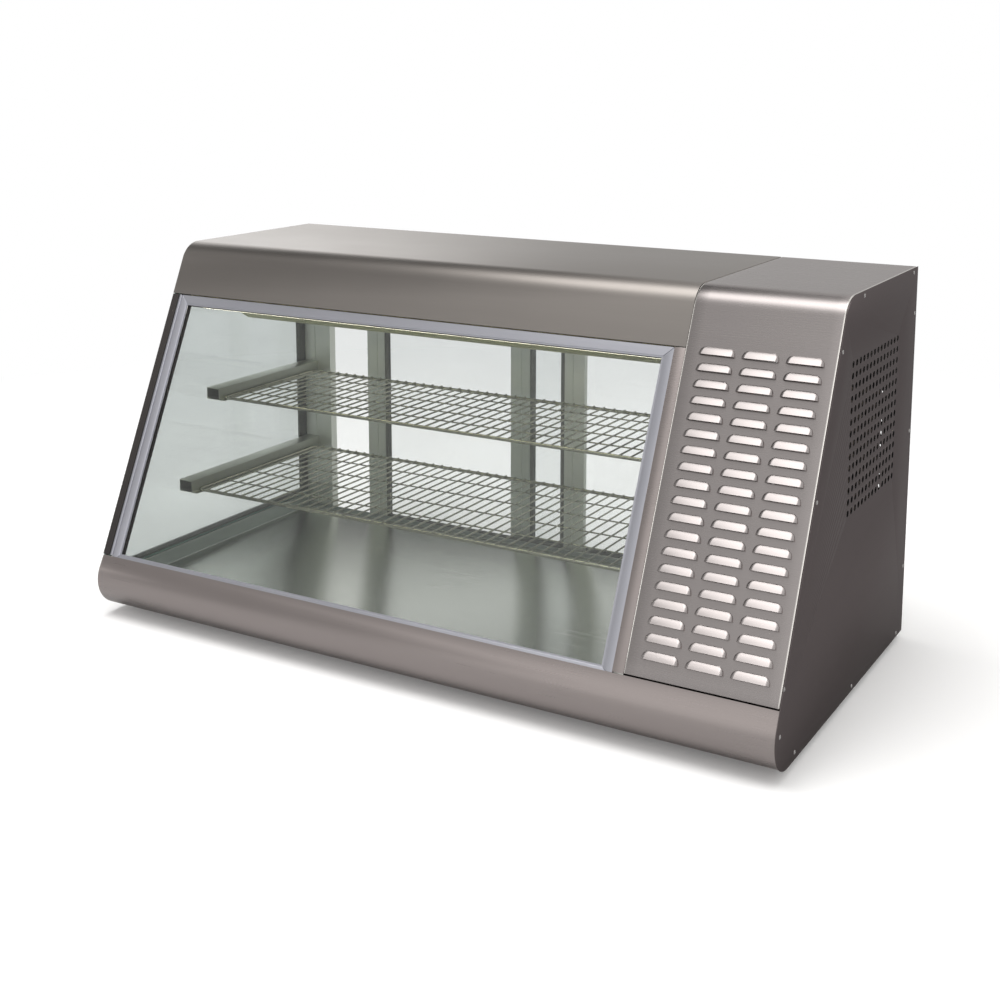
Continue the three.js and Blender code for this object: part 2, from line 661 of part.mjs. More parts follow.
function doorFrame() {
  const height = DOOR_TOP - DOOR_BOTTOM;
  const slotY = (DOOR_THICKNESS - DOOR_GLASS) / 2 - GAP;
  const edge = STILE - GLASS_BITE - GAP;
  const slotZ = [DOOR_LOW_RAIL - GLASS_BITE - GAP, height - DOOR_RAIL + GLASS_BITE + GAP];
  const windowX = [STILE, DOOR_WIDTH - STILE];
  const windowZ = [DOOR_LOW_RAIL, height - DOOR_RAIL];
  return cut(solidOf(block([0, DOOR_WIDTH], [0, DOOR_THICKNESS], [0, height])), [
    block(windowX, [-LAP, DOOR_THICKNESS + LAP], windowZ),
    block([edge, DOOR_WIDTH - edge], [slotY, DOOR_THICKNESS - slotY], slotZ),
  ]);
}

function doorPane() {
  const edge = STILE - GLASS_BITE;
  const y = (DOOR_THICKNESS - DOOR_GLASS) / 2;
  const height = DOOR_TOP - DOOR_BOTTOM;
  const z = [DOOR_LOW_RAIL - GLASS_BITE, height - DOOR_RAIL + GLASS_BITE];
  return block([edge, DOOR_WIDTH - edge], [y, DOOR_THICKNESS - y], z);
}

function doorHandle(x) {
  const y = DOOR_THICKNESS + GAP;
  const low = (DOOR_TOP - DOOR_BOTTOM - HANDLE.height) / 2;
  const z = [low, low + HANDLE.height];
  const far = x + HANDLE.width;
  return join([
    block([x, far], [y, y + HANDLE.web], z),
    block([x, x + HANDLE.rim], [y, y + HANDLE.depth], z),
    block([far - HANDLE.rim, far], [y, y + HANDLE.depth], z),
  ]);
}

const rightHandleX = DOOR_WIDTH - HANDLE.inset - HANDLE.width;
const doors = [
  { name: 'left_door', x: LEFT_DOOR_X, y: LEFT_DOOR_Y, handleX: HANDLE.inset },
  { name: 'right_door', x: RIGHT_DOOR_X, y: RIGHT_DOOR_Y, handleX: rightHandleX },
];
for (const { name, x, y, handleX } of doors) {
  const door = new THREE.Group();
  door.position.set(x, y, DOOR_BOTTOM);
  displayCase.add(door);
  add(`${name}_frame`, doorFrame(), doorAluminium, door);
  add(`${name}_glass`, doorPane(), glass, door);
  add(`${name}_handle`, doorHandle(handleX), blackPlastic, door);
}

// Shelf arms: square tubes along the sides, each with a ledge that carries the shelf's edge.
function shelfArm(outerX, side, front) {
  const span = (from, to) => [Math.min(from, to), Math.max(from, to)];
  const innerX = outerX + side * ARM_WIDTH;
  const y = [front, TRACK_FRONT - GAP];
  const hollowX = span(outerX + side * SHEET, innerX - side * SHEET);
  const ledgeX = span(innerX - side * SHEET, innerX + side * LEDGE);
  const tube = cut(solidOf(block(span(outerX, innerX), y, [0, ARM_HEIGHT])), [
    block(hollowX, [front - LAP, y[1] + LAP], [SHEET, ARM_HEIGHT - SHEET]),
  ]);
  return tube.add(solidOf(block(ledgeX, y, [0, SHEET])));
}

// A wire shelf: a rim, runners from front to back and cross wires just below them.
function wireShelf(front) {
  const x = [SHELF_LEFT, SHELF_RIGHT];
  const y = [front, SHELF_REAR];
  const inside = ([low, high]) => [low + SHELF_RIM, high - SHELF_RIM];
  const runnerZ = SHELF_HEIGHT - RUNNER;
  const pitch = (SHELF_RIGHT - SHELF_LEFT - 2 * SHELF_RIM + RUNNER) / (RUNNER_COUNT + 1);
  const slots = [];
  for (let i = 0; i <= RUNNER_COUNT; i += 1) {
    const start = SHELF_LEFT + SHELF_RIM + i * pitch;
    slots.push(block([start, start + pitch - RUNNER], inside(y), [-LAP, SHELF_HEIGHT + LAP]));
  }
  const grid = cut(solidOf(block(x, y, [runnerZ, SHELF_HEIGHT])), slots);
  const rim = cut(solidOf(block(x, y, [0, SHELF_HEIGHT])), [
    block(inside(x), inside(y), [-LAP, SHELF_HEIGHT + LAP]),
  ]);
  const step = (SHELF_REAR - front) / (CROSS_COUNT + 1);
  const cross = [];
  for (let i = 1; i <= CROSS_COUNT; i += 1) {
    const centre = front + i * step;
    const wireY = [centre - CROSS_HALF, centre + CROSS_HALF];
    cross.push(block([x[0] + LAP, x[1] - LAP], wireY, [0, runnerZ - GAP]));
  }
  return grid.add(rim).add(join(cross));
}

for (const { name, armZ, armFront, shelfFront } of SHELVES) {
  add(`${name}_rail_left`, shelfArm(ARM_OUTER_LEFT, 1, armFront), armSteel).position.z = armZ;
  add(`${name}_rail_right`, shelfArm(ARM_OUTER_RIGHT, -1, armFront), armSteel).position.z = armZ;
  add(`${name}_shelf`, wireShelf(shelfFront), chromeWire).position.z = armZ + SHEET + GAP;
}

// Machine cover: a bent sheet with pressed louvres, folded in along its left and lower edges. Each louvre
// is open along its lower edge, and its tapered hull starts at the depth called back.
function louvreHull({ x, s, half, tip, crown, back, front, top }) {
  const points = [];
  for (const side of [-1, 1]) {
    points.push(new THREE.Vector3(x + side * half, s, back));
    points.push(new THREE.Vector3(x + side * crown, s, front));
    points.push(new THREE.Vector3(x + side * tip, top, back));
  }
  return fromSlope(new ConvexGeometry(points));
}

function louvre(x, s) {
  const half = LOUVRE.width / 2;
  const outer = {
    x,
    s,
    half,
    tip: half - LOUVRE.tip,
    crown: half - LOUVRE.crown,
    back: PROUD - SHEET / 2,
    front: PROUD + LOUVRE.rise,
    top: s + LOUVRE.height,
  };
  const inner = {
    x,
    s: outer.s - LAP,
    half: outer.half - LOUVRE.skin,
    tip: outer.tip - LOUVRE.skin,
    crown: outer.crown - LOUVRE.skin,
    back: PROUD - SHEET - GAP,
    front: outer.front - LOUVRE.skin,
    top: outer.top - LAP,
  };
  return { outer: louvreHull(outer), inner: louvreHull(inner) };
}

function louvredCover() {
  const section = (thickness) => topSheet({
    inset: -PROUD,
    radius: COVER_BEND,
    thickness,
    bottom: COVER_LOW,
    rear: COVER_REAR,
    rearLow: TOP - thickness,
  });
  const foldS = [COVER_LOW, COVER_LOW + SHEET];
  let cover = join([
    alongX(section(SHEET), COVER_LEFT, COVER_RIGHT),
    alongX(section(COVER_EDGE), COVER_LEFT, COVER_LEFT + SHEET),
    fromSlope(block([COVER_LEFT, COVER_RIGHT], foldS, [PROUD - COVER_FOLD, PROUD])),
  ]);
  for (let row = 0; row < LOUVRE.rows; row += 1) {
    for (let column = 0; column < LOUVRE.columns; column += 1) {
      const x = LOUVRE_FIRST_X + column * LOUVRE_PITCH_X;
      const s = LOUVRE_FIRST_S + row * LOUVRE_PITCH_S;
      const { outer, inner } = louvre(x, s);
      cover = cover.add(solidOf(outer)).subtract(solidOf(inner));
    }
  }
  return cover;
}

add('louvred_cover', louvredCover(), stainless);

// Right side: a flat panel with a perforated field.
function rightSidePanel() {
  const outline = caseOutline({
    inset: -PROUD,
    low: BASE,
    high: TOP,
    rear: REAR,
    lowBend: SIDE_BOTTOM_BEND,
    highBend: COVER_BEND,
  });
  const { count, radius, sides, firstY, firstZ, pitchY, pitchZ } = HOLES;
  const holes = [];
  for (let row = 0; row < count; row += 1) {
    for (let column = 0; column < count; column += 1) {
      const hole = new THREE.CylinderGeometry(radius, radius, 4 * SHEET, sides).rotateZ(Math.PI / 2);
      holes.push(hole.translate(RIGHT, firstY + column * pitchY, firstZ + row * pitchZ));
    }
  }
  return cut(solidOf(alongX(outline, RIGHT - SHEET, RIGHT)), holes);
}

add('right_side_panel', rightSidePanel(), stainlessDark);

// Rear service panel with vent slots and cut-outs for the controls.
function servicePanel() {
  const y = [PANEL_Y - LAP, PANEL_BACK + LAP];
  const opening = ([x0, x1], [z0, z1]) => block([x0 - GAP, x1 + GAP], y, [z0 - GAP, z1 + GAP]);
  const { x, z, half } = SWITCH;
  const openings = [
    opening([THERMOSTAT.left, THERMOSTAT.right], [THERMOSTAT.low, THERMOSTAT.high]),
    opening([x - half, x + half], [z - half, z + half]),
    opening([INLET.left, INLET.right], [INLET.low, INLET.high]),
  ];
  for (let i = 0; i < VENT.count; i += 1) {
    const low = VENT.firstZ + i * VENT.pitch;
    openings.push(block([VENT.left, VENT.right], y, [low, low + VENT.height]));
  }
  const sheetX = [SERVICE_LEFT, COVER_RIGHT - GAP];
  const sheet = block(sheetX, [PANEL_Y, PANEL_BACK], [SERVICE_LOW, TOP - SHEET - GAP]);
  return cut(solidOf(sheet), openings);
}

add('rear_service_panel', servicePanel(), stainless);

// Thermostat with three keys.
const keys = ['down_button', 'set_button', 'up_button'].map((name, i) => {
  const x = THERMOSTAT.left + KEYS.firstX + i * KEYS.pitch;
  return { name, x, z: THERMOSTAT.low + KEYS.lift };
});
const controlFace = PANEL_BACK + GAP;

function thermostat() {
  const { left, right, low, high, bezel, face, front } = THERMOSTAT;
  const outside = controlFace + face;
  const body = join([
    block([left, right], [front, controlFace + LAP], [low, high]),
    block([left - bezel, right + bezel], [controlFace, outside], [low - bezel, high + bezel]),
  ]);
  const radius = BUTTON.radius + BUTTON.clearance;
  const floor = outside - BUTTON.depth;
  return cut(body, keys.map(({ x, z }) => rod(x, z, radius, floor, outside + LAP, 16)));
}

add('thermostat', thermostat(), blackPlastic);
for (const { name, x, z } of keys) {
  const key = add(name, rod(0, 0, BUTTON.radius, 0, BUTTON.length, 16), greyPlastic);
  key.position.set(x, controlFace + BUTTON.seat, z);
}

// Rocker switch: a body with a well and a paddle that rests with its upper end out.
function switchBody() {
  const { x, z, half, cavity, front, well, lip, face } = SWITCH;
  const square = (reach, y) => block([x - reach, x + reach], y, [z - reach, z + reach]);
  const body = join([
    square(half, [front, controlFace + LAP]),
    square(half + lip, [controlFace, controlFace + face]),
  ]);
  return cut(body, [square(cavity, [well, REAR])]);
}

add('switch_body', switchBody(), blackPlastic);
const paddleShape = block([-PADDLE.x, PADDLE.x], [-PADDLE.back, PADDLE.front], [-PADDLE.z, PADDLE.z]);
const paddle = add('power_switch', paddleShape, greyPlastic);
paddle.position.set(SWITCH.x, PADDLE.pivotY, SWITCH.z);
paddle.rotation.x = THREE.MathUtils.degToRad(PADDLE.tiltDeg);

// Mains inlet: a shroud with a deep recess.
function powerInlet() {
  const { left, right, low, high, front, recess, face } = INLET;
  const sized = ({ x, z }, y) => block([left - x, right + x], y, [low - z, high + z]);
  const body = join([
    sized({ x: 0, z: 0 }, [front, controlFace + LAP]),
    sized(INLET_FLANGE, [controlFace, controlFace + face]),
  ]);
  return cut(body, [sized({ x: -INLET_WALL.x, z: -INLET_WALL.z }, [recess, REAR])]);
}

add('power_inlet', powerInlet(), blackPlastic);

// Condensing unit: a finned coil behind the louvres, a shroud, a fan on its motor and a compressor.
add('condenser_coil', finBlock(COIL), finAluminium);

const shroudFront = COIL.rear + SHROUD.offset;
const shroudBack = shroudFront + SHROUD.thickness;

function fanShroud() {
  const plate = block([COIL.left, COIL.right], [shroudFront, shroudBack], [COIL.low, COIL.high]);
  const ring = rod(FAN_X, FAN_Z, FAN_BORE + SHROUD.ring, shroudFront, SHROUD.ringRear, 32);
  const bore = rod(FAN_X, FAN_Z, FAN_BORE, shroudFront - LAP, SHROUD.ringRear + LAP, 32);
  return cut(join([plate, ring]), [bore]);
}

add('fan_shroud', fanShroud(), galvanised);

function fan() {
  const blades = [];
  for (let i = 0; i < BLADE.count; i += 1) {
    const blade = new THREE.BoxGeometry(FAN_RADIUS - BLADE.root, BLADE.thickness, BLADE.chord);
    blade.rotateX(THREE.MathUtils.degToRad(BLADE.pitchDeg));
    blade.translate((FAN_RADIUS + BLADE.root) / 2, FAN_Y, 0);
    blade.rotateY((i * 2 * Math.PI) / BLADE.count);
    blades.push(blade);
  }
  const hub = rod(0, 0, HUB.radius, HUB.front, HUB.rear);
  const shaft = rod(0, 0, SHAFT.radius, SHAFT.front, SHAFT.rear, 16);
  return join([hub, shaft, ...blades]);
}

add('condenser_fan', fan(), blackPlastic).position.set(FAN_X, 0, FAN_Z);

function fanMotor() {
  const { rear, thickness, halfHeight, inset } = STRAP;
  const z = [FAN_Z - halfHeight, FAN_Z + halfHeight];
  const strapX = [COIL.left + inset, COIL.right - inset];
  const leg = (x) => block([x, x + thickness], [shroudBack + GAP, rear], z);
  const body = join([
    rod(FAN_X, FAN_Z, MOTOR.radius, MOTOR.front, MOTOR.rear, 28),
    block(strapX, [rear - thickness, rear], z),
    leg(strapX[0]),
    leg(strapX[1] - thickness),
  ]);
  const bore = SHAFT.radius + SHAFT.clearance;
  return cut(body, [rod(FAN_X, FAN_Z, bore, MOTOR.front - LAP, MOTOR.boreRear, 16)]);
}

add('fan_motor', fanMotor(), blackEnamel);

function compressor() {
  const { radius, low, belly, seamLow, seamHigh } = COMPRESSOR;
  const { start, height, seam } = COMPRESSOR_DOME;
  const profile = new THREE.Path();
  profile.moveTo(0, low);
  profile.lineTo(radius - belly, low);
  profile.absarc(radius - belly, low + belly, belly, 1.5 * Math.PI, 2 * Math.PI, false);
  profile.lineTo(radius, seamLow);
  profile.lineTo(radius + seam, seamLow);
  profile.lineTo(radius + seam, seamHigh);
  profile.lineTo(radius, seamHigh);
  profile.absellipse(0, start, radius, height, 0, Math.PI / 2, false, 0);
  const dome = new THREE.LatheGeometry(profile.getPoints(4), 20).rotateX(Math.PI / 2);
  const plateX = [-COMPRESSOR_PLATE.halfX, COMPRESSOR_PLATE.halfX];
  const plateY = [-COMPRESSOR_PLATE.halfY, COMPRESSOR_PLATE.halfY];
  const solids = [dome, block(plateX, plateY, [COMPRESSOR_PLATE.low, COMPRESSOR_PLATE.high])];
  const padHeight = MOUNT_PAD.high - MOUNT_PAD.low;
  for (const x of [-MOUNT_PAD.x, MOUNT_PAD.x]) {
    for (const y of [-MOUNT_PAD.y, MOUNT_PAD.y]) {
      const pad = new THREE.CylinderGeometry(MOUNT_PAD.radius, MOUNT_PAD.radius, padHeight, 12);
      solids.push(pad.rotateX(Math.PI / 2).translate(x, y, (MOUNT_PAD.low + MOUNT_PAD.high) / 2));
    }
  }
  return join(solids);
}

add('compressor', compressor(), blackEnamel).position.set(COMPRESSOR.x, COMPRESSOR.y, 0);

export default displayCase;
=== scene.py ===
import json
import math

import bmesh
import bpy
from mathutils import Matrix, Vector

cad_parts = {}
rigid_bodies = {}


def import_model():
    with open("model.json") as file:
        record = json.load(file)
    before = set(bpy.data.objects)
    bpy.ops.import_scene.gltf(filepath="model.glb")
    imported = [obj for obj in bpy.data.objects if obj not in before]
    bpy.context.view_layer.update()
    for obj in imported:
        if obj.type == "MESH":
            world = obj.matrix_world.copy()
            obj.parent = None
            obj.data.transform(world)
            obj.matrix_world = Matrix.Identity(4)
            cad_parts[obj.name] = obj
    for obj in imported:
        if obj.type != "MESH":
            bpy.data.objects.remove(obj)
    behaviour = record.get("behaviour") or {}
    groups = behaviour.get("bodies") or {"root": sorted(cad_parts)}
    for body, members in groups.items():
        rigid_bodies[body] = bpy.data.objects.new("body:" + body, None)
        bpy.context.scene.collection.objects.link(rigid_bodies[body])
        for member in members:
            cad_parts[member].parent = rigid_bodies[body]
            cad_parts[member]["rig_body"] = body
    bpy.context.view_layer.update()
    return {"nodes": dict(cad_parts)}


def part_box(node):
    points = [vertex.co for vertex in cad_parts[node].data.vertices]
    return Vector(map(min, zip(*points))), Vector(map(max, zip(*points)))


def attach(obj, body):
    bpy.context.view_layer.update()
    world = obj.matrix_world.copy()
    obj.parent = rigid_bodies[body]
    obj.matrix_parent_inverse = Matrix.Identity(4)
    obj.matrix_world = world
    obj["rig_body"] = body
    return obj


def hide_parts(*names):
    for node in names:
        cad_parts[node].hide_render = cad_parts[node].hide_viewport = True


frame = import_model()
NODES = frame["nodes"]
SCENE = bpy.context.scene

# The sloped front leans back by TILT from the apron's top edge. The machine cover stands PROUD of it.
TILT = math.radians(24.62)
FOOT_Y = -0.2823
FOOT_Z = 0.105
COS, SIN, TAN = math.cos(TILT), math.sin(TILT), math.tan(TILT)
PROUD = 0.003
SHEET = 0.0015
TOP_BEND = 0.046
LOW_BEND = 0.0505
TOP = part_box("hood")[1].z
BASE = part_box("base_tray")[0].z


def slope_point(x, s, out):
    """A point of the sloped front: s runs up it, and out leads away from the case."""
    return Vector((x, FOOT_Y + s * SIN - out * COS, FOOT_Z + s * COS + out * SIN))


def front_y(z, inset=0.0):
    return FOOT_Y + (z - FOOT_Z) * TAN + inset / COS


SLOPE = Matrix(((1, 0, 0, 0), (0, SIN, -COS, FOOT_Y), (0, COS, SIN, FOOT_Z), (0, 0, 0, 1)))
YZ_PLANE = Matrix(((0, 0, 1, 0), (1, 0, 0, 0), (0, 1, 0, 0), (0, 0, 0, 1)))
OUT = Vector((0, -COS, SIN))
# Below this a distance or a share counts as nothing.
TINY = 1e-6


# ---------------------------------------------------------------- materials
def add_node(tree, kind, sockets=None, **settings):
    """Adds a shader node. A socket takes a value or another node's output."""
    node = tree.nodes.new("ShaderNode" + kind)
    for key, value in settings.items():
        setattr(node, key, value)
    for key, value in (sockets or {}).items():
        if isinstance(value, bpy.types.NodeSocket):
            tree.links.new(value, node.inputs[key])
        else:
            node.inputs[key].default_value = value
    return node


class Look:
    """A node material that starts as one Principled shader."""

    def __init__(self, name, **values):
        self.material = bpy.data.materials.new(name)
        self.material.use_nodes = True
        self.tree = self.material.node_tree
        self.shader = self.tree.nodes["Principled BSDF"]
        self.output = self.tree.nodes["Material Output"]
        for key, value in values.items():
            self.shader.inputs[key.replace("_", " ").title().replace("Ior", "IOR")].default_value = value

    def add(self, kind, sockets=None, **settings):
        return add_node(self.tree, kind, sockets, **settings)

    def set(self, socket, value):
        self.tree.links.new(value, self.shader.inputs[socket])

    def noise(self, stretch, detail=3.0, seed=0.0):
        coords = self.add("TexCoord").outputs["Object"]
        place = {"Vector": coords, "Scale": stretch, "Location": (seed, 0.37 * seed, 0.71 * seed)}
        mapping = self.add("Mapping", place)
        texture = self.add("TexNoise", {"Vector": mapping.outputs[0], "Scale": 1.0, "Detail": detail})
        return texture.outputs["Fac"]

    def mix(self, factor, low, high):
        node = self.add("Mix", data_type="RGBA")
        self.tree.links.new(factor, node.inputs[0])
        node.inputs[6].default_value = (*low, 1)
        node.inputs[7].default_value = (*high, 1)
        return node.outputs[2]

    def blend(self, a, b, weight):
        node = self.add("Mix", data_type="FLOAT")
        node.inputs[0].default_value = weight
        self.tree.links.new(a, node.inputs[2])
        self.tree.links.new(b, node.inputs[3])
        return node.outputs[0]

    def span(self, value, low, high, start=0.3, end=0.7):
        sockets = {"Value": value, "From Min": start, "From Max": end, "To Min": low, "To Max": high}
        return self.add("MapRange", sockets).outputs[0]

    def bump(self, height, depth, strength=1.0):
        node = self.add("Bump", {"Height": height, "Distance": depth, "Strength": strength})
        self.set("Normal", node.outputs[0])


def shade(colour, factor):
    return tuple(min(1.0, c * factor) for c in colour)


def hexed(text):
    return tuple((int(text[i:i + 2], 16) / 255) ** 2.2 for i in (0, 2, 4))


GRAIN = {"X": (9.0, 1300.0, 1300.0), "Y": (1300.0, 9.0, 1300.0), "Z": (1300.0, 1300.0, 9.0)}
STREAK = {"X": (1.2, 46.0, 46.0), "Y": (46.0, 1.2, 46.0), "Z": (46.0, 46.0, 1.2)}


def brushed(name, colour, rough, grain="X", tangent="X", contrast=0.02, directional=0.45):
    """Brushed steel: fine grain, wide streaks and handling marks along one axis."""
    look = Look(name, metallic=1.0, anisotropic=directional)
    fine = look.noise(GRAIN[grain], 4.0)
    streak = look.noise(STREAK[grain], 3.0, 3.1)
    cloud = look.noise((5.0, 5.0, 5.0), 4.0, 7.7)
    pattern = look.blend(look.blend(fine, streak, 0.5), cloud, 0.35)
    factor = look.span(pattern, 0.0, 1.0, 0.38, 0.62)
    look.set("Base Color", look.mix(factor, shade(colour, 1 - contrast), shade(colour, 1 + contrast)))
    wear = look.blend(fine, cloud, 0.6)
    look.set("Roughness", look.span(wear, rough - 0.02, rough + 0.04))
    look.set("Tangent", look.add("Tangent", direction_type="RADIAL", axis=tangent).outputs[0])
    look.bump(fine, 0.000003)
    return look.material


def cast(name, colour, rough, metallic=0.0, scale=900.0, depth=0.00003, contrast=0.08, **values):
    """A moulded, painted, anodised or rubbery surface with a fine texture and soft marks."""
    look = Look(name, metallic=metallic, **values)
    fine = look.noise((scale, scale, scale), 2.0)
    cloud = look.noise((14.0, 14.0, 14.0), 5.0, 2.3)
    pattern = look.span(look.blend(fine, cloud, 0.65), 0.0, 1.0, 0.35, 0.65)
    look.set("Base Color", look.mix(pattern, shade(colour, 1 - contrast), shade(colour, 1 + contrast)))
    look.set("Roughness", look.span(cloud, rough - 0.06, rough + 0.08))
    look.bump(fine, depth)
    return look.material


def glazing(name, tint, haze=0.02, low=1.0):
    """A pane: it lets light straight through, mirrors a little, and carries faint cleaning marks."""
    look = Look(name)
    facing = look.add("LayerWeight", {"Blend": 0.5}).outputs["Facing"]
    power = look.add("Math", {0: facing, 1: 5.0}, operation="POWER").outputs[0]
    mirror = look.add("Math", {0: power, 1: 0.9, 2: 0.04}, operation="MULTIPLY_ADD").outputs[0]
    marks = look.noise((7.0, 7.0, 22.0), 5.0, 5.5)
    tinted = look.mix(look.span(marks, 0.0, 1.0), shade(tint, 0.992), tint)
    # With low under 1 the see-through tint darkens towards the pane's bottom: painted shade.
    if low < 1.0:
        height = look.add("SeparateXYZ", {0: look.add("TexCoord").outputs["Object"]}).outputs["Z"]
        shade_below = look.mix(look.span(height, 0.0, 1.0, 0.08, 0.42), (low, low, low), (1, 1, 1))
        both = look.add("Mix", {6: tinted, 7: shade_below, 0: 1.0}, data_type="RGBA", blend_type="MULTIPLY")
        tinted = both.outputs[2]
    clear = look.add("BsdfTransparent", {"Color": tinted}).outputs[0]
    rough = look.span(marks, 0.0, haze)
    gloss = look.add("BsdfGlossy", {"Roughness": rough, "Color": (0.95, 0.97, 0.97, 1)}).outputs[0]
    out = look.add("MixShader", {0: mirror, 1: clear, 2: gloss})
    look.tree.links.new(out.outputs[0], look.output.inputs["Surface"])
    look.tree.nodes.remove(look.shader)
    return look.material


def glowing(name, colour, light, strength):
    look = Look(name, roughness=0.4, emission_color=(*light, 1), emission_strength=strength)
    cloud = look.noise((40.0, 40.0, 40.0), 3.0)
    look.set("Base Color", look.mix(cloud, shade(colour, 0.94), colour))
    look.bump(look.noise((1500.0, 1500.0, 1500.0), 2.0), 0.00002)
    return look.material


hood_steel = brushed("hood_steel", hexed("948f8b"), 0.33)
front_steel = brushed("front_steel", hexed("aea5a3"), 0.28)
cover_steel = brushed("cover_steel", hexed("a7a1a0"), 0.27)
# A brighter, glossier steel for the cover's side folds: a painted highlight along its edges.
fold_highlight_steel = brushed("fold_highlight_steel", hexed("dedad6"), 0.2)
# The right side is the same stainless as the other panels with a darker base colour and a dimmed specular
# tint: painted shade for the side turned away from the light.
shaded_side_steel = brushed("shaded_side_steel", hexed("6f6868"), 0.34, "Y", "Z", 0.02)
shaded_side_steel.node_tree.nodes["Principled BSDF"].inputs["Specular Tint"].default_value = (0.62, 0.60, 0.60, 1)
liner_steel = brushed("liner_steel", hexed("d8dbd5"), 0.24, "X", "X", 0.04)
deck_steel = brushed("deck_steel", hexed("bcbfb9"), 0.24, "X", "X", 0.04)
# A darker steel for the deck's upright faces: painted shade.
shaded_upstand_steel = brushed("shaded_upstand_steel", hexed("8e9791"), 0.4, "X", "X", 0.03)
# The evaporator tray's yellow-green tone is the lamp's light painted into its colour.
lamp_tinted_tray_steel = cast("lamp_tinted_tray_steel", hexed("b3b593"), 0.42, 0.55, 60.0, 0.00001, 0.05)
rear_steel = brushed("rear_steel", hexed("9b948e"), 0.32, "X", "Z")
arm_steel = brushed("arm_steel", hexed("a2a69b"), 0.36, "Y", "Z", 0.06)
wire_steel = cast("wire_chrome", hexed("9b9c8c"), 0.2, 1.0, 500.0, 0.00001, 0.05)
frame_metal = brushed("frame_aluminium", hexed("c8c9d2"), 0.34, "X", "X", 0.03, 0.2)
frame_metal_up = brushed("frame_aluminium_upright", hexed("c8c9d2"), 0.34, "Z", "Z", 0.03, 0.2)
door_metal = brushed("door_aluminium", hexed("e4e8df"), 0.48, "Z", "Z", 0.03, 0.2)
track_metal = brushed("track_aluminium", hexed("8a8d84"), 0.38, "X", "X", 0.05, 0.3)
zinc = cast("galvanised_sheet", hexed("93918e"), 0.44, 0.95, 120.0, 0.00001, 0.06)
fin_metal = brushed("fin_aluminium", hexed("b9bdc0"), 0.42, "Z", "Z", 0.06, 0.1)
copper = cast("copper_pipe", (0.72, 0.34, 0.2), 0.3, 1.0, 200.0, 0.00001, 0.1)
screw_steel = cast("screw_steel", (0.5, 0.49, 0.48), 0.3, 1.0, 800.0, 0.00001, 0.06)
black_seal = cast("black_seal", (0.022, 0.018, 0.017), 0.6)
grey_seal = cast("grey_seal", (0.11, 0.115, 0.105), 0.5)
foam = cast("insulating_foam", hexed("d9cfa6"), 0.9, 0.0, 260.0, 0.0004, 0.14)
black_plastic = cast("black_plastic", (0.018, 0.018, 0.019), 0.42, 0.0, 1400.0, 0.00004)
grey_plastic = cast("grey_plastic", (0.075, 0.08, 0.085), 0.45, 0.0, 1400.0, 0.00004)
white_mark = cast("white_print", (0.8, 0.8, 0.78), 0.5)
enamel = cast("black_enamel", (0.012, 0.013, 0.014), 0.32, 0.0, 90.0, 0.00008, 0.15, coat_weight=0.3)
rubber = cast("foot_rubber", (0.02, 0.02, 0.02), 0.8, 0.0, 700.0, 0.00006)
lens = glowing("lamp_lens", (0.9, 0.9, 0.86), (1.0, 0.95, 0.74), 7.0)
digits = glowing("display_digits", (0.5, 0.02, 0.01), (1.0, 0.05, 0.02), 4.0)
front_glass = glazing("front_glass", (0.965, 0.970, 0.968))
side_glass = glazing("side_glass", (0.925, 0.937, 0.934), low=0.965)
door_glass = glazing("door_glass", (0.965, 0.972, 0.972))
glass_edge = cast("glass_edge", (0.16, 0.3, 0.25), 0.15, 0.0, 200.0, 0.00001, 0.1)


# ---------------------------------------------------------------- mesh tools
def place(name, shape, body, slot, materials, replaces=(), sharp=32.0):
    """Puts a finished mesh or bmesh into the scene as a piece that rides on a body."""
    mesh = shape if isinstance(shape, bpy.types.Mesh) else mesh_of(shape, name)
    for polygon in mesh.polygons:
        polygon.use_smooth = True
    mesh.set_sharp_from_angle(angle=math.radians(sharp))
    for material in materials if isinstance(materials, (list, tuple)) else [materials]:
        mesh.materials.append(material)
    piece = bpy.data.objects.new(name, mesh)
    SCENE.collection.objects.link(piece)
    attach(piece, body)
    if replaces:
        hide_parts(*replaces)
    return piece


def mesh_of(bm, name):
    bmesh.ops.recalc_face_normals(bm, faces=bm.faces)
    mesh = bpy.data.meshes.new(name)
    bm.to_mesh(mesh)
    bm.free()
    return mesh


def rounded(bm, width, segments=2, angle=30.0):
    """Rounds every edge sharper than angle."""
    limit = math.radians(angle)
    edges = [e for e in bm.edges if len(e.link_faces) == 2 and e.calc_face_angle() > limit]
    if edges and width:
        bmesh.ops.bevel(
            bm, geom=edges, offset=width, segments=segments, profile=0.5, affect="EDGES", clamp_overlap=True
        )


def node_shape(node, width, segments):
    """A CAD node's shape with rounded edges."""
    bm = bmesh.new()
    bm.from_mesh(NODES[node].data)
    bmesh.ops.remove_doubles(bm, verts=bm.verts, dist=TINY)
    bmesh.ops.dissolve_limit(bm, angle_limit=math.radians(0.5), verts=bm.verts, edges=bm.edges)
    rounded(bm, width, segments)
    return bm


def refine(node, slot, material, width=0.0004, segments=2, sharp=32.0):
    """A CAD node's rounded shape with its own material."""
    bm = node_shape(node, width, segments)
    return place(node + "_v", bm, NODES[node]["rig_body"], slot, material, [node], sharp)


def add_box(bm, low, high):
    """Adds a box between two corners and returns its vertices."""
    size = Vector(high) - Vector(low)
    middle = (Vector(high) + Vector(low)) / 2
    matrix = Matrix.Translation(middle) @ Matrix.Diagonal((*size, 1))
    return bmesh.ops.create_cube(bm, size=1.0, matrix=matrix)["verts"]


def boxes(name, body, slot, material, corners, width=0.0003, matrix=None, replaces=()):
    bm = bmesh.new()
    for low, high in corners:
        add_box(bm, low, high)
    rounded(bm, width)
    if matrix is not None:
        bmesh.ops.transform(bm, matrix=matrix, verts=bm.verts)
    return place(name, bm, body, slot, material, replaces)


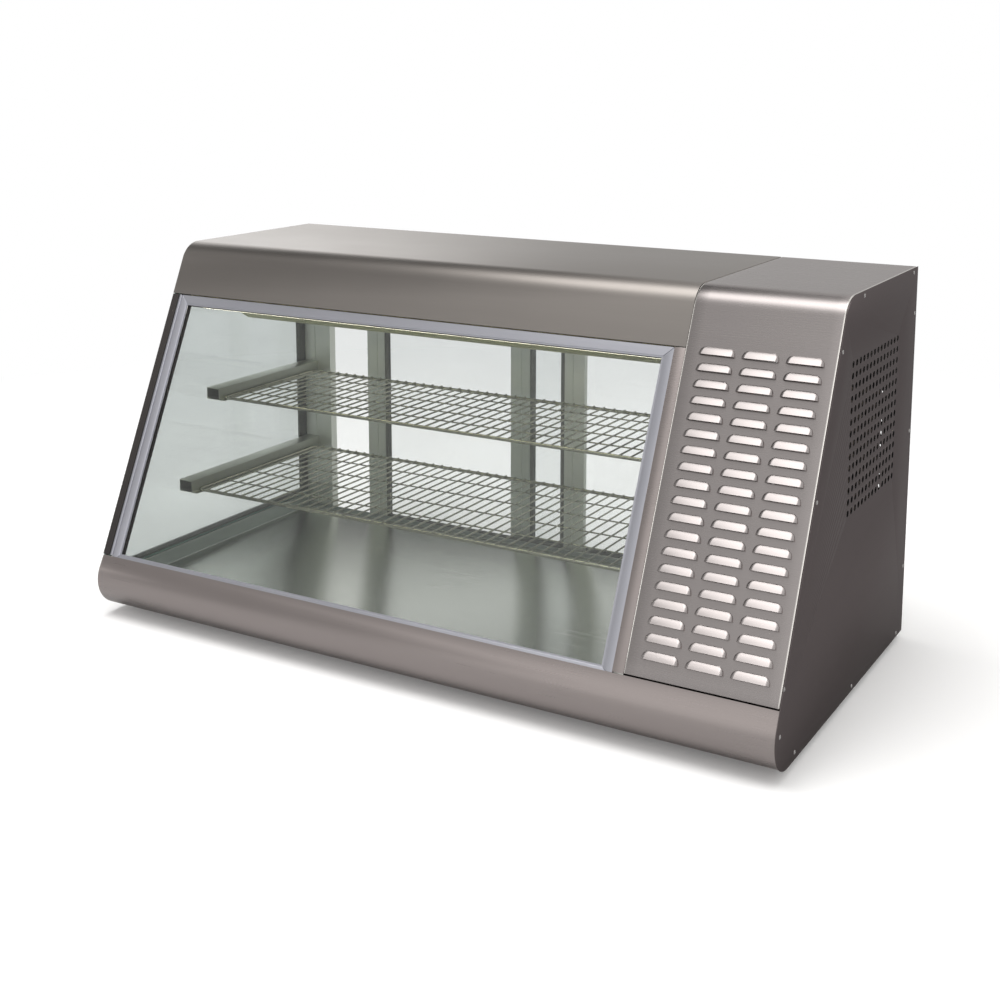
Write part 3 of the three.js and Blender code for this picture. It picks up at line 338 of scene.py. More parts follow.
def curve_mesh(name, paths, radius, cyclic=False, resolution=3):
    """Round bars along paths of points, as one mesh."""
    data = bpy.data.curves.new(name, "CURVE")
    data.dimensions = "3D"
    data.bevel_depth = radius
    data.bevel_resolution = resolution
    data.use_fill_caps = True
    for points in paths:
        spline = data.splines.new("POLY")
        spline.points.add(len(points) - 1)
        for point, where in zip(spline.points, points):
            point.co = (*where, 1)
        spline.use_cyclic_u = cyclic
    return converted(data, name)


def converted(data, name, thickness=0.0):
    holder = bpy.data.objects.new(name + "_shape", data)
    SCENE.collection.objects.link(holder)
    if thickness:
        solid = holder.modifiers.new("sheet", "SOLIDIFY")
        solid.thickness = thickness
        solid.offset = -1.0
    bpy.context.view_layer.update()
    depsgraph = bpy.context.evaluated_depsgraph_get()
    mesh = bpy.data.meshes.new_from_object(holder.evaluated_get(depsgraph))
    bpy.data.objects.remove(holder)
    bm = bmesh.new()
    bm.from_mesh(mesh)
    bmesh.ops.remove_doubles(bm, verts=bm.verts, dist=TINY)
    bm.to_mesh(mesh)
    bm.free()
    mesh.name = name
    return mesh


def thickened(mesh, thickness):
    """Turns a surface into a sheet whose outer face stays where it was."""
    return converted(mesh, mesh.name, thickness)


def joined(name, meshes):
    bm = bmesh.new()
    for mesh in meshes:
        bm.from_mesh(mesh)
    return mesh_of(bm, name)


def plate(name, outline, holes, thickness, matrix, edge=0.0002):
    """A flat sheet with holes, drawn in its own plane, with its outer face at zero."""
    data = bpy.data.curves.new(name, "CURVE")
    data.dimensions = "2D"
    data.fill_mode = "BOTH"
    data.extrude = thickness / 2 - edge
    data.bevel_depth = edge
    data.bevel_resolution = 1
    data.offset = -edge
    for loop in [outline, *holes]:
        spline = data.splines.new("POLY")
        spline.points.add(len(loop) - 1)
        for point, (u, v) in zip(spline.points, loop):
            point.co = (u, v, 0, 1)
        spline.use_cyclic_u = True
    mesh = converted(data, name)
    mesh.transform(matrix @ Matrix.Translation((0, 0, -thickness / 2)))
    return mesh


def arc(u, v, radius, start, sweep, steps):
    """Points along an arc, with both its ends."""
    angles = [start + sweep * i / steps for i in range(steps + 1)]
    return [(u + radius * math.cos(a), v + radius * math.sin(a)) for a in angles]


def circle(u, v, radius, count=20):
    """A round hole, drawn clockwise."""
    return arc(u, v, radius, 0.0, -2 * math.pi, count)[:-1]


def slot_hole(u0, u1, v0, v1, count=8):
    """A slot with round ends, drawn clockwise."""
    radius, middle = (v1 - v0) / 2, (v0 + v1) / 2
    right_end = arc(u1 - radius, middle, radius, math.pi / 2, -math.pi, count)
    return right_end + arc(u0 + radius, middle, radius, -math.pi / 2, -math.pi, count)


def square_hole(u0, u1, v0, v1):
    return [(u0, v0), (u0, v1), (u1, v1), (u1, v0)]


def case_outline(inset, low, high, rear, low_bend, high_bend, steps=20):
    """The side outline of the case, counter-clockwise in (Y, Z)."""
    top_z, bottom_z = high - high_bend, low + low_bend
    top_y, bottom_y = front_y(top_z, inset + high_bend), front_y(bottom_z, inset + low_bend)
    top = arc(top_y, top_z, high_bend, math.pi / 2, math.pi / 2 - TILT, steps)
    bottom = arc(bottom_y, bottom_z, low_bend, math.pi - TILT, math.pi / 2 + TILT, steps)
    return [(rear, low), (rear, high), *top, *bottom]


def smooth_path(points, steps=6):
    """A smooth line through points."""
    knots = [Vector(p) for p in points]
    knots = [2 * knots[0] - knots[1], *knots, 2 * knots[-1] - knots[-2]]
    line = []
    for a, b, c, d in zip(knots, knots[1:], knots[2:], knots[3:]):
        for i in range(steps):
            t = i / steps
            square, cube = 2 * a - 5 * b + 4 * c - d, 3 * b - a - 3 * c + d
            line.append(0.5 * (2 * b + (c - a) * t + square * t * t + cube * t ** 3))
    return [*line, knots[-2]]


def add_face(bm, corners):
    """Adds a face, leaving out corners that repeat."""
    bm.faces.new([v for k, v in enumerate(corners) if v not in corners[:k]])


def lathe(bm, profile, matrix, count=32):
    """Turns a profile of (radius, height) points about its own Z."""
    rings = []
    for radius, height in profile:
        if radius < 1e-7:
            rings.append([bm.verts.new(matrix @ Vector((0, 0, height)))])
            continue
        ring = []
        for i in range(count):
            angle = 2 * math.pi * i / count
            point = Vector((radius * math.cos(angle), radius * math.sin(angle), height))
            ring.append(bm.verts.new(matrix @ point))
        rings.append(ring)
    for a, b in zip(rings, rings[1:]):
        for i in range(count):
            j = (i + 1) % count
            add_face(bm, [a[i % len(a)], a[j % len(a)], b[j % len(b)], b[i % len(b)]])


def screw_head(bm, centre, matrix, radius=0.0031, height=0.0008):
    """A low domed head with a cross recess. Its height leads along the matrix's Z."""
    rings, count = 7, 24
    rows = [[bm.verts.new(matrix @ Vector((0, 0, 0)))] * count]
    for r in range(1, rings + 1):
        row = []
        for i in range(count):
            angle = 2 * math.pi * i / count
            share = r / rings
            x, y = share * math.cos(angle), share * math.sin(angle)
            lift = height * math.sqrt(max(0.0, 1.0 - share ** 2.4))
            if share < 0.62 and min(abs(x), abs(y)) < 0.13:
                lift -= height * 1.1
            row.append(bm.verts.new(matrix @ (Vector(centre) + Vector((x * radius, y * radius, lift)))))
        rows.append(row)
    rows[0][0].co = matrix @ (Vector(centre) + Vector((0, 0, -height * 0.1)))
    for a, b in zip(rows, rows[1:]):
        for i in range(count):
            j = (i + 1) % count
            add_face(bm, [a[i], b[i], b[j], a[j]])


def screws(name, centres, matrix, slot, **size):
    bm = bmesh.new()
    for centre in centres:
        screw_head(bm, centre, matrix, **size)
    return place(name, bm, "case", slot, screw_steel, sharp=50.0)


# ---------------------------------------------------------------- outer sheets
refine("hood", "stainless_top", hood_steel, 0.0005, 3)
refine("front_apron", "stainless_front", front_steel)
refine("base_tray", "galvanised_steel", zinc, 0.0003)
refine("front_filler_strip", "stainless_front", front_steel, 0.0002)

LOUVRE_X = [0.4245 + 0.0643 * i for i in range(3)]
LOUVRE_S = [0.0268 + 0.0238 * i for i in range(19)]
LOUVRE_HALF = 0.0275
LOUVRE_TALL = 0.0122
LOUVRE_RISE = 0.0058
# The share of a louvre's half width that each rounded end takes, and the points along it.
LOUVRE_END = 0.22
END_STEPS = 7
# The flat margin around a louvre, the bend of the cover's side folds, and the cover's thickness.
GUARD = 0.0007
FOLD = 0.0029
COVER_SHEET = 0.0012


def louvre_samples():
    """Positions across a louvre from -1 to 1 with their share of its rise: flat, with quarter-round ends."""
    angles = [math.pi / 2 * i / END_STEPS for i in range(END_STEPS, -1, -1)]
    left = [(-(1 - LOUVRE_END) - LOUVRE_END * math.sin(a), math.cos(a)) for a in angles]
    return [*left, (0.0, 1.0), *[(-u, h) for u, h in left[::-1]]]


def louvre_width(v):
    """The louvre narrows a little up its height and its upper corners are rounded."""
    return 1 - 0.05 * v - 0.24 * v ** 4


def cover_columns(left, right):
    """(x, depth, louvre column, u, rise) from the left fold to the right one."""
    bend = [math.pi / 2 * i / 5 for i in range(6)]
    edge = [(FOLD * (1 - math.sin(a)), FOLD * (1 - math.cos(a))) for a in bend[::-1]]
    columns = [(left, 0.010, None, 0, 0), *[(left + x, depth, None, 0, 0) for x, depth in edge]]
    for k, middle in enumerate(LOUVRE_X):
        columns.append((middle - LOUVRE_HALF - GUARD, 0.0, None, 0, 0))
        columns += [(middle, 0.0, k, u, h) for u, h in louvre_samples()]
        columns.append((middle + LOUVRE_HALF + GUARD, 0.0, None, 0, 0))
    columns += [(right - x, depth, None, 0, 0) for x, depth in edge[::-1]]
    return [*columns, (right, 0.008, None, 0, 0)]


def cover_rows(rear):
    """(point, normal, louvre row, v) from the bottom fold to the rear of the top."""
    rows = []
    for s, depth in ((0.002, 0.009), (0.002, 0.0012), (0.0023, 0.0004), (0.0032, 0.0)):
        rows.append((slope_point(0, s, PROUD - depth), OUT, None, 0))
    for k, start in enumerate(LOUVRE_S):
        rows.append((slope_point(0, start - GUARD, PROUD), OUT, None, 0))
        for j in range(9):
            v = math.sin(math.pi / 2 * j / 8)
            rows.append((slope_point(0, start + v * LOUVRE_TALL, PROUD), OUT, k, v))
        rows.append((slope_point(0, start + LOUVRE_TALL + GUARD, PROUD), OUT, None, 0))
    centre_z = TOP - TOP_BEND
    centre_y = front_y(centre_z, TOP_BEND - PROUD)
    for i in range(25):
        angle = TILT + (math.pi / 2 - TILT) * i / 24
        normal = Vector((0, -math.cos(angle), math.sin(angle)))
        rows.append((Vector((0, centre_y, centre_z)) + normal * TOP_BEND, normal, None, 0))
    for y in (0.1, 0.2, rear):
        rows.append((Vector((0, y, TOP)), Vector((0, 0, 1)), None, 0))
    return rows


def louvred_cover():
    low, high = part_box("louvred_cover")
    columns = cover_columns(low.x, high.x)
    rows = cover_rows(high.y)
    bm = bmesh.new()
    sheet, lip = {}, {}
    for j, (point, normal, row, v) in enumerate(rows):
        for i, (x, depth, column, u, rise) in enumerate(columns):
            pressed = row is not None and column is not None
            across = u * LOUVRE_HALF * (louvre_width(v) if pressed else 1)
            flat = Vector((x + across, point.y, point.z)) - normal * depth
            raised = flat + normal * (LOUVRE_RISE * rise * (1 - v) ** 0.8 if pressed else 0)
            if pressed and v < TINY and rise > TINY:
                sheet[i, j] = bm.verts.new(flat)
                lip[i, j] = bm.verts.new(raised)
            else:
                sheet[i, j] = bm.verts.new(raised)
    for j in range(len(rows) - 1):
        mouth = rows[j][2] is not None and rows[j][3] < TINY
        for i in range(len(columns) - 1):
            same = columns[i][2] is not None and columns[i][2] == columns[i + 1][2]
            low_edge = [lip.get((k, j), sheet[k, j]) if mouth and same else sheet[k, j] for k in (i, i + 1)]
            face = bm.faces.new([*low_edge, sheet[i + 1, j + 1], sheet[i, j + 1]])
            # The side folds take the brighter steel: a painted highlight down both edges of the cover.
            face.material_index = int(i < 6 or i >= len(columns) - 7)
    mesh = bpy.data.meshes.new("louvred_cover_v")
    bm.to_mesh(mesh)
    bm.free()
    mesh = thickened(mesh, COVER_SHEET)
    steels = [cover_steel, fold_highlight_steel]
    place("louvred_cover_v", mesh, "case", "stainless_front", steels, ["louvred_cover"], 27.0)


louvred_cover()

# Right side: a perforated sheet held by screws. Its face is set in by the screws' height.
SCREW_RISE = 0.0008
panel_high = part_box("right_side_panel")[1]
# The perforation in (Y, Z): holes each way, the first one, their pitch and radius, and a box around them all.
HOLES = 14
HOLE_Y, HOLE_Z = -0.025, 0.298
PITCH_Y, PITCH_Z = 0.0172, 0.0166
HOLE_RADIUS = 0.0049
FIELD_Y, FIELD_Z = (-0.04, 0.21), (0.28, 0.53)


def right_side():
    outline = case_outline(-PROUD, BASE, TOP, panel_high.y, LOW_BEND, TOP_BEND)[::-1]
    holes = []
    for row in range(HOLES):
        for column in range(HOLES):
            holes.append(circle(HOLE_Y + PITCH_Y * column, HOLE_Z + PITCH_Z * row, HOLE_RADIUS))
    face = Matrix.Translation((panel_high.x - SCREW_RISE, 0, 0)) @ YZ_PLANE
    mesh = plate("right_side_panel_v", outline, holes, SHEET - 0.0004, face)
    # The hole walls in the perforated field take black enamel: painted shade inside the holes.
    for polygon in mesh.polygons:
        middle = polygon.center
        in_field = FIELD_Y[0] < middle.y < FIELD_Y[1] and FIELD_Z[0] < middle.z < FIELD_Z[1]
        polygon.material_index = int(abs(polygon.normal.x) < 0.5 and in_field)
    place("right_side_panel_v", mesh, "case", "stainless_side", [shaded_side_steel, enamel], ["right_side_panel"])
    edge = [(-0.076, 0.540), (-0.165, 0.352), (-0.272, 0.131), (-0.283, 0.070), (-0.222, 0.023)]
    edge += [(0.029, 0.0195), (0.266, 0.019), (0.016, 0.605), (0.276, 0.605)]
    edge += [(0.291, 0.124), (0.291, 0.349), (0.291, 0.539)]
    screws("side_screws", [(y, z, 0) for y, z in edge], face, "stainless_side")


right_side()

# Rear service panel with slotted vents.
service_low, service_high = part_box("rear_service_panel")
thermostat_low, thermostat_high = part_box("thermostat")
switch_low, switch_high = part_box("switch_body")
inlet_low, inlet_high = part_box("power_inlet")
REAR_FACE = Matrix.Translation((0, service_high.y, 0)) @ Matrix(
    ((1, 0, 0, 0), (0, 0, 1, 0), (0, 1, 0, 0), (0, 0, 0, 1))
)
# Heights of the openings for the thermostat and the switch, and the lower edges of the vents.
CONTROL_Z = (0.523, 0.549)
VENT_Z = [0.160 + 0.022 * i for i in range(12)]
VENT_TALL = 0.007


def service_panel():
    low, high = service_low, service_high
    outline = [(low.x, low.z), (high.x, low.z), (high.x, high.z), (low.x, high.z)][::-1]
    holes = [
        square_hole(thermostat_low.x + 0.004, thermostat_high.x - 0.004, *CONTROL_Z),
        square_hole(switch_low.x + 0.002, switch_high.x - 0.002, *CONTROL_Z),
        square_hole(inlet_low.x + 0.01, inlet_high.x - 0.01, inlet_low.z + 0.003, inlet_high.z - 0.003),
    ]
    holes += [slot_hole(0.417, 0.557, start, start + VENT_TALL) for start in VENT_Z]
    mesh = plate("rear_service_panel_v", outline, holes, SHEET, REAR_FACE)
    place("rear_service_panel_v", mesh, "case", "stainless_front", rear_steel, ["rear_service_panel"])
    bm = bmesh.new()
    for start in VENT_Z:
        for vert in add_box(bm, (0.419, high.y - 0.0115, 0), (0.555, high.y - SHEET, 0.0009)):
            vert.co.z += start - 0.0002 + (high.y - SHEET - vert.co.y)
    place("vent_lips", bm, "case", "stainless_front", rear_steel)
    spots = [(x, z, 0) for x in (low.x + 0.008, high.x - 0.008) for z in (0.085, 0.22, 0.36, 0.5, 0.6)]
    screws("service_screws", spots, REAR_FACE, "stainless_front")


service_panel()

# ---------------------------------------------------------------- glazing
FRONT_X = (-0.5779, 0.3549)
FRONT_S = (-0.0089, 0.4609)
FRAME_WIDTH = 0.0128
LIP_WIDTH = 0.0026


def pane(node, slot, material, normal):
    """A pane whose broad faces are glass and whose edges show green."""
    bm = node_shape(node, 0.0003, 1)
    for face in bm.faces:
        face.material_index = 0 if abs(face.normal.dot(normal)) > 0.99 else 1
    return place(node + "_v", bm, NODES[node]["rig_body"], slot, [material, glass_edge], [node], 20.0)


for layer in ("outer", "inner"):
    pane(f"front_glass_{layer}", "glazing", front_glass, OUT)
for layer in ("outer", "inner"):
    pane(f"left_glass_{layer}", "glazing", side_glass, Vector((1, 0, 0)))
for end in ("left", "right"):
    pane(f"{end}_door_glass", "glazing", door_glass, Vector((0, 1, 0)))
refine("front_glass_spacer", "black_seal", black_seal, 0.0002)
refine("left_glass_edge_trim", "black_seal", black_seal, 0.0003)
refine("left_corner_bead", "frame_aluminium", frame_metal_up, 0.0008)


def ring(bm, outer, inner, low, high):
    """A rectangular ring between two heights; outer and inner are (u0, u1, v0, v1). Returns its vertices."""
    loops = []
    for u0, u1, v0, v1 in (outer, inner):
        for height in (low, high):
            loops.append([bm.verts.new((u, v, height)) for u, v in ((u0, v0), (u1, v0), (u1, v1), (u0, v1))])
    outer_low, outer_high, inner_low, inner_high = loops
    for a, b in (
        (outer_low, outer_high), (outer_high, inner_high), (inner_high, inner_low), (inner_low, outer_low)
    ):
        for i in range(4):
            j = (i + 1) % 4
            bm.faces.new((a[i], a[j], b[j], b[i]))
    return [vert for loop in loops for vert in loop]


def left_spacer():
    """A slim metal spacer on a dark bead, between the two side panes."""
    low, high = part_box("left_glass_spacer")
    for start, width, tone in ((0.0, 0.004, black_seal), (0.004, 0.005, grey_seal)):
        bm = bmesh.new()
        loops = []
        for margin in (start, start + width):
            bottom, top = low.z + margin, high.z - margin
            inset = 0.0028 + margin
            loop = [(front_y(bottom, inset), bottom), (high.y - margin, bottom)]
            loops.append([*loop, (high.y - margin, top), (front_y(top, inset), top)])
        verts = [[[bm.verts.new((x, *p)) for p in loop] for loop in loops] for x in (low.x, high.x)]
        for i in range(4):
            j = (i + 1) % 4
            for a, b in ((verts[0][0], verts[0][1]), (verts[1][0], verts[1][1])):
                bm.faces.new((a[i], a[j], b[j], b[i]))
            for k in (0, 1):
                bm.faces.new((verts[0][k][i], verts[0][k][j], verts[1][k][j], verts[1][k][i]))
        name = "left_glass_spacer_bead" if not start else "left_glass_spacer_bar"
        place(name, bm, "case", "black_seal", tone)
    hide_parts("left_glass_spacer")


left_spacer()
spacer_low, spacer_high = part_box("left_glass_spacer")
boxes("left_glass_rear_band", "case", "black_seal", black_seal,
      [((spacer_low.x + 0.0002, 0.246, 0.080), (spacer_high.x - 0.0002, 0.288, 0.5195))])

for part in ("top", "bottom"):
    refine(f"front_frame_{part}", "frame_aluminium", frame_metal, 0.0006, 3)
for part in ("left", "right"):
    refine(f"front_frame_{part}", "frame_aluminium", frame_metal_up, 0.0006, 3)


def inset(edges, margin):
    u0, u1, v0, v1 = edges
    return (u0 + margin, u1 - margin, v0 + margin, v1 - margin)


def front_lip():
    """A slim metal lip between the frame's inner edge and the glass."""
    bm = bmesh.new()
    edge = inset((*FRONT_X, *FRONT_S), FRAME_WIDTH)
    ring(bm, edge, inset(edge, LIP_WIDTH), -0.0041, -0.0030)
    rounded(bm, 0.0004)
    bmesh.ops.transform(bm, matrix=SLOPE, verts=bm.verts)
    place("front_lip", bm, "case", "frame_aluminium", frame_metal)


front_lip()

# ---------------------------------------------------------------- display space
deck = refine("display_deck", "liner_steel", deck_steel, 0.0006)
# The deck's upright faces take a darker steel than its floor: painted shade on the upstands.
deck.data.materials.append(shaded_upstand_steel)
for polygon in deck.data.polygons:
    polygon.material_index = int(abs(polygon.normal.z) < 0.3)
deck_low, deck_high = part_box("display_deck")
# Two lines of sealant on the deck's left upstand: X from the deck's edge and Z, at two opposite corners.
SEALANT = (((0.0012, 0.0478), (0.0046, 0.0508)), ((0.0002, 0.0743), (0.0016, 0.0753)))
boxes("deck_sealant", "case", "black_seal", black_seal, [
    ((deck_low.x + x0, deck_low.y + 0.003, z0), (deck_low.x + x1, deck_high.y - 0.003, z1))
    for (x0, z0), (x1, z1) in SEALANT
])
refine("ceiling_panel", "liner_steel", liner_steel)
refine("partition_wall", "liner_steel", liner_steel, 0.001)
refine("evaporator_tray", "liner_steel", lamp_tinted_tray_steel, 0.0006)
refine("lamp_housing", "frame_aluminium", frame_metal)
refine("lamp_diffuser", "white_diffuser", lens, 0.0025, 4)
for node in ("base_insulation", "hood_insulation"):
    NODES[node].data.materials.clear()
    NODES[node].data.materials.append(foam)
for end in ("left", "right"):
    for level in ("upper", "lower"):
        refine(f"{level}_rail_{end}", "arm_steel", arm_steel, 0.0007, 3)


def wire_shelf(node):
    """A plated wire shelf: a rim, cross wires and runners welded on top of them."""
    low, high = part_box(node)
    rim, cross, runner = 0.003, 0.0012, 0.0015
    z = low.z + rim
    x0, x1, y0, y1 = low.x + rim, high.x - rim, low.y + rim, high.y - rim
    bend = 0.008
    middles = ((x1 - bend, y1 - bend), (x0 + bend, y1 - bend), (x0 + bend, y0 + bend), (x1 - bend, y0 + bend))
    loop = []
    for quarter, (u, v) in enumerate(middles):
        loop += [(*point, z) for point in arc(u, v, bend, math.pi / 2 * quarter, math.pi / 2, 6)]
    cross_z = high.z - 2 * runner - cross + 0.0004
    cross_y = [low.y + (high.y - low.y) * i / 5 for i in range(1, 5)]
    pitch = (high.x - low.x - 0.007) / 44
    runner_z, ends = high.z - runner, (low.y + 0.0012, high.y - 0.0012)
    runner_x = [low.x + 0.005 + i * pitch - runner for i in range(1, 44)]
    meshes = [
        curve_mesh("rim", [loop], rim, True, 4),
        curve_mesh("cross", [[(x0, y, cross_z), (x1, y, cross_z)] for y in cross_y], cross),
        curve_mesh("runners", [[(x, y, runner_z) for y in ends] for x in runner_x], runner),
    ]
    place(node + "_v", joined(node + "_v", meshes), node, "shelf_wire", wire_steel, [node], 60.0)


wire_shelf("upper_shelf")
wire_shelf("lower_shelf")


def fins(node, pitch, material, slot, along_rows, rows_z):
    """A finned block: thin plates on tubes with return bends."""
    low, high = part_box(node)
    bm = bmesh.new()
    count = int((high.x - low.x - 0.02) / pitch)
    for i in range(count + 1):
        x = low.x + 0.01 + i * pitch
        add_box(bm, (x, low.y, low.z), (x + 0.0004, high.y, high.z))
    for x in (low.x + 0.008, high.x - 0.0095):
        add_box(bm, (x, low.y, low.z), (x + 0.0015, high.y, high.z))
    place(node + "_v", bm, "case", slot, material, [node])
    paths = []
    for y in along_rows:
        line = []
        for k, z in enumerate(rows_z):
            ends = [low.x + 0.0045, high.x - 0.0045]
            line += [(x, y, z) for x in (ends if k % 2 == 0 else ends[::-1])]
        paths.append(line)
    tubes = curve_mesh(node + "_tubes", paths, 0.0042, False, 3)
    place(node + "_tubes", tubes, "case", slot, copper)


evap_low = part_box("evaporator_coil")[0]
fins("evaporator_coil", 0.0065, fin_metal, "fin_aluminium",
     [evap_low.y + 0.02 + 0.0283 * i for i in range(4)], [evap_low.z + 0.010, evap_low.z + 0.025])
coil_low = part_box("condenser_coil")[0]
fins("condenser_coil", 0.0035, fin_metal, "fin_aluminium",
     [coil_low.y + 0.010, coil_low.y + 0.030], [coil_low.z + 0.014 + 0.026 * i for i in range(8)])

# ---------------------------------------------------------------- rear doors
refine("rear_sill_track", "door_aluminium", track_metal)
refine("rear_top_track", "door_aluminium", track_metal)
refine("right_jamb", "door_aluminium", door_metal, 0.0006)


def prism(name, outline, z0, z1, body, slot, material, replaces=(), width=0.0004):
    """An extrusion along Z of an outline in (X, Y)."""
    bm = bmesh.new()
    lower = [bm.verts.new((x, y, z0)) for x, y in outline]
    upper = [bm.verts.new((x, y, z1)) for x, y in outline]
    bm.faces.new(lower[::-1])
    bm.faces.new(upper)
    for i in range(len(outline)):
        j = (i + 1) % len(outline)
        bm.faces.new((lower[i], lower[j], upper[j], upper[i]))
    rounded(bm, width)
    return place(name, bm, body, slot, material, replaces)


def grooved(u0, u1, v0, v1, grooves, width=0.0014, depth=0.0012):
    """A rectangle outline with grooves across both broad faces, counter-clockwise."""
    cut = [(-width / 2, 0), (-width / 4, depth), (width / 4, depth), (width / 2, 0)]
    lower = [(g + u, v0 + v) for g in grooves for u, v in cut]
    upper = [(g - u, v1 - v) for g in grooves[::-1] for u, v in cut]
    return [(u0, v0), *lower, (u1, v0), (u1, v1), *upper, (u0, v1)]


jamb_low, jamb_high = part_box("left_jamb")
# The rear outer corner of the left jamb is cut back to this (X, Y).
JAMB_STEP = (-0.541, 0.2795)
jamb_shape = grooved(jamb_low.x, jamb_high.x, jamb_low.y, jamb_high.y, [-0.561])
corner = jamb_shape.index((jamb_high.x, jamb_high.y))
step_x, step_y = JAMB_STEP
jamb_shape[corner:corner + 1] = [(jamb_high.x, step_y), (step_x, step_y), (step_x, jamb_high.y)]
prism("left_jamb_v", jamb_shape, jamb_low.z, jamb_high.z,
      "case", "door_aluminium", door_metal, ["left_jamb"], 0.0006)


def door(body):
    """A sliding door: grooved stiles, rails between them, and a bead on each side of the glass."""
    low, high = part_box(f"{body}_frame")
    stile, bite, groove = 0.048, 0.008, 0.023
    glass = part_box(f"{body}_glass")
    for side, x0, x1 in (("a", low.x, low.x + stile - bite), ("b", high.x - stile + bite, high.x)):
        line = x0 + groove if side == "a" else x1 - groove
        shape = grooved(x0, x1, low.y, high.y, [line])
        piece = prism(f"{body}_stile_{side}", shape, low.z, high.z,
                      body, "door_aluminium", door_metal, (), 0.0006)
        if side == "a":
            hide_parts(f"{body}_frame")
    inner = (low.x + stile - bite + 0.0002, high.x - stile + bite - 0.0002)
    bars = [((inner[0], low.y, low.z), (inner[1], high.y, glass[0].z)),
            ((inner[0], low.y, glass[1].z), (inner[1], high.y, high.z))]
    boxes(f"{body}_rails", body, "door_aluminium", door_metal, bars, 0.0006)
    bm = bmesh.new()
    outer = (inner[0], inner[1], glass[0].z, glass[1].z)
    window = (low.x + stile, high.x - stile, glass[0].z + bite, glass[1].z - bite)
    for near, far in ((low.y + 0.0012, glass[0].y), (glass[1].y, high.y - 0.0012)):
        for vert in ring(bm, outer, window, near, far):
            vert.co = Vector((vert.co.x, vert.co.z, vert.co.y))
    rounded(bm, 0.0005)
    place(f"{body}_bead", bm, body, "black_seal", grey_seal)
    refine(f"{body}_handle", "black_plastic", black_plastic, 0.0008, 3)


door("left_door")
door("right_door")

# ---------------------------------------------------------------- controls
refine("thermostat", "black_plastic", black_plastic, 0.0008, 3)
refine("switch_body", "black_plastic", black_plastic, 0.0006)
refine("power_inlet", "black_plastic", black_plastic, 0.0006)
for key in ("down_button", "set_button", "up_button"):
    refine(key, "grey_plastic", grey_plastic, 0.0007, 3)
refine("power_switch", "grey_plastic", grey_plastic, 0.0008, 3)


def key_marks():
    """Raised arrows and a dot on the three keys."""
    shapes = {
        "up_button": [(-1.6, -1.1), (1.6, -1.1), (0, 1.7)],
        "down_button": [(-1.6, 1.1), (0, -1.7), (1.6, 1.1)],
        "set_button": arc(0, 0, 1.3, 0.0, 2 * math.pi, 12)[:-1],
    }
    for node, points in shapes.items():
        low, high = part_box(node)
        middle = (low + high) / 2
        bm = bmesh.new()
        for y in (high.y - 0.0001, high.y + 0.00015):
            bm.faces.new([bm.verts.new((middle.x - u * 0.001, y, middle.z + v * 0.001)) for u, v in points])
        bm.faces.ensure_lookup_table()
        near, far = bm.faces[0].verts[:], bm.faces[1].verts[:]
        for i in range(len(near)):
            j = (i + 1) % len(near)
            bm.faces.new((near[i], near[j], far[j], far[i]))
        place(node + "_mark", bm, node, "grey_plastic", white_mark)


key_marks()

SEGMENTS = {
    "a": ((-1, 2), (1, 2)), "b": ((1, 0), (1, 2)), "c": ((1, -2), (1, 0)), "d": ((-1, -2), (1, -2)),
    "e": ((-1, -2), (-1, 0)), "f": ((-1, 0), (-1, 2)), "g": ((-1, 0), (1, 0)),
}


def display():
    """A dark window with a two-figure temperature."""
    face = thermostat_high.y
    x0, x1, z0, z1 = 0.4275, 0.4555, 0.5262, 0.5458
    boxes("thermostat_window", "case", "black_plastic", cast("display_window", (0.01, 0.004, 0.004), 0.12),
          [((x0, face - 0.0002, z0), (x1, face + 0.0003, z1))], 0.0002)
    bm = bmesh.new()
    for centre, lit in ((0.4365, "fgbc"), (0.4475, "abcdef")):
        middle_z = (z0 + z1) / 2
        for key in lit:
            (u0, v0), (u1, v1) = SEGMENTS[key]
            xs = sorted((centre - u0 * 0.003, centre - u1 * 0.003))
            zs = sorted((middle_z + v0 * 0.003, middle_z + v1 * 0.003))
            pad_x, pad_z = (0.0, 0.0005) if u0 != u1 else (0.0005, 0.0)
            low = (xs[0] - pad_x, face + 0.0003, zs[0] - pad_z + (0.0004 if pad_x else 0))
            high = (xs[1] + pad_x, face + 0.00042, zs[1] + pad_z - (0.0004 if pad_x else 0))
            add_box(bm, low, high)
    place("thermostat_digits", bm, "case", "black_plastic", digits)


display()


ROCKER_PIVOT = (0.539, 0.290, 0.536)


def switch_marks():
    """A bar and a ring on the rocker, which is tilted 10 degrees at rest."""
    turn = Matrix.Translation(ROCKER_PIVOT) @ Matrix.Rotation(math.radians(-10), 4, "X")
    bm = bmesh.new()
    for v in add_box(bm, (-0.0005, 0.00395, 0.0035), (0.0005, 0.0042, 0.0065)):
        v.co = turn @ v.co
    lathe(bm, [(0.0012, 0), (0.0017, 0), (0.0017, 0.0002), (0.0012, 0.0002), (0.0012, 0)],
          turn @ Matrix.Translation((0, 0.004, -0.005)) @ Matrix.Rotation(math.radians(-90), 4, "X"), 20)
    place("power_switch_marks", bm, "power_switch", "grey_plastic", white_mark)


switch_marks()
inlet_middle = (inlet_low + inlet_high) / 2
boxes("inlet_pins", "case", "black_plastic", screw_steel,
      [((inlet_middle.x + dx - 0.001, 0.2745, inlet_middle.z + dz - 0.002),
        (inlet_middle.x + dx + 0.001, 0.290, inlet_middle.z + dz + 0.002))
       for dx, dz in ((-0.007, -0.002), (0.0, 0.003), (0.007, -0.002))], 0.0003)

# ---------------------------------------------------------------- condensing unit
refine("fan_shroud", "galvanised_steel", zinc)
refine("fan_motor", "black_enamel", enamel, 0.0006)


FAN_CENTRE = (0.487, -0.107, 0.145)


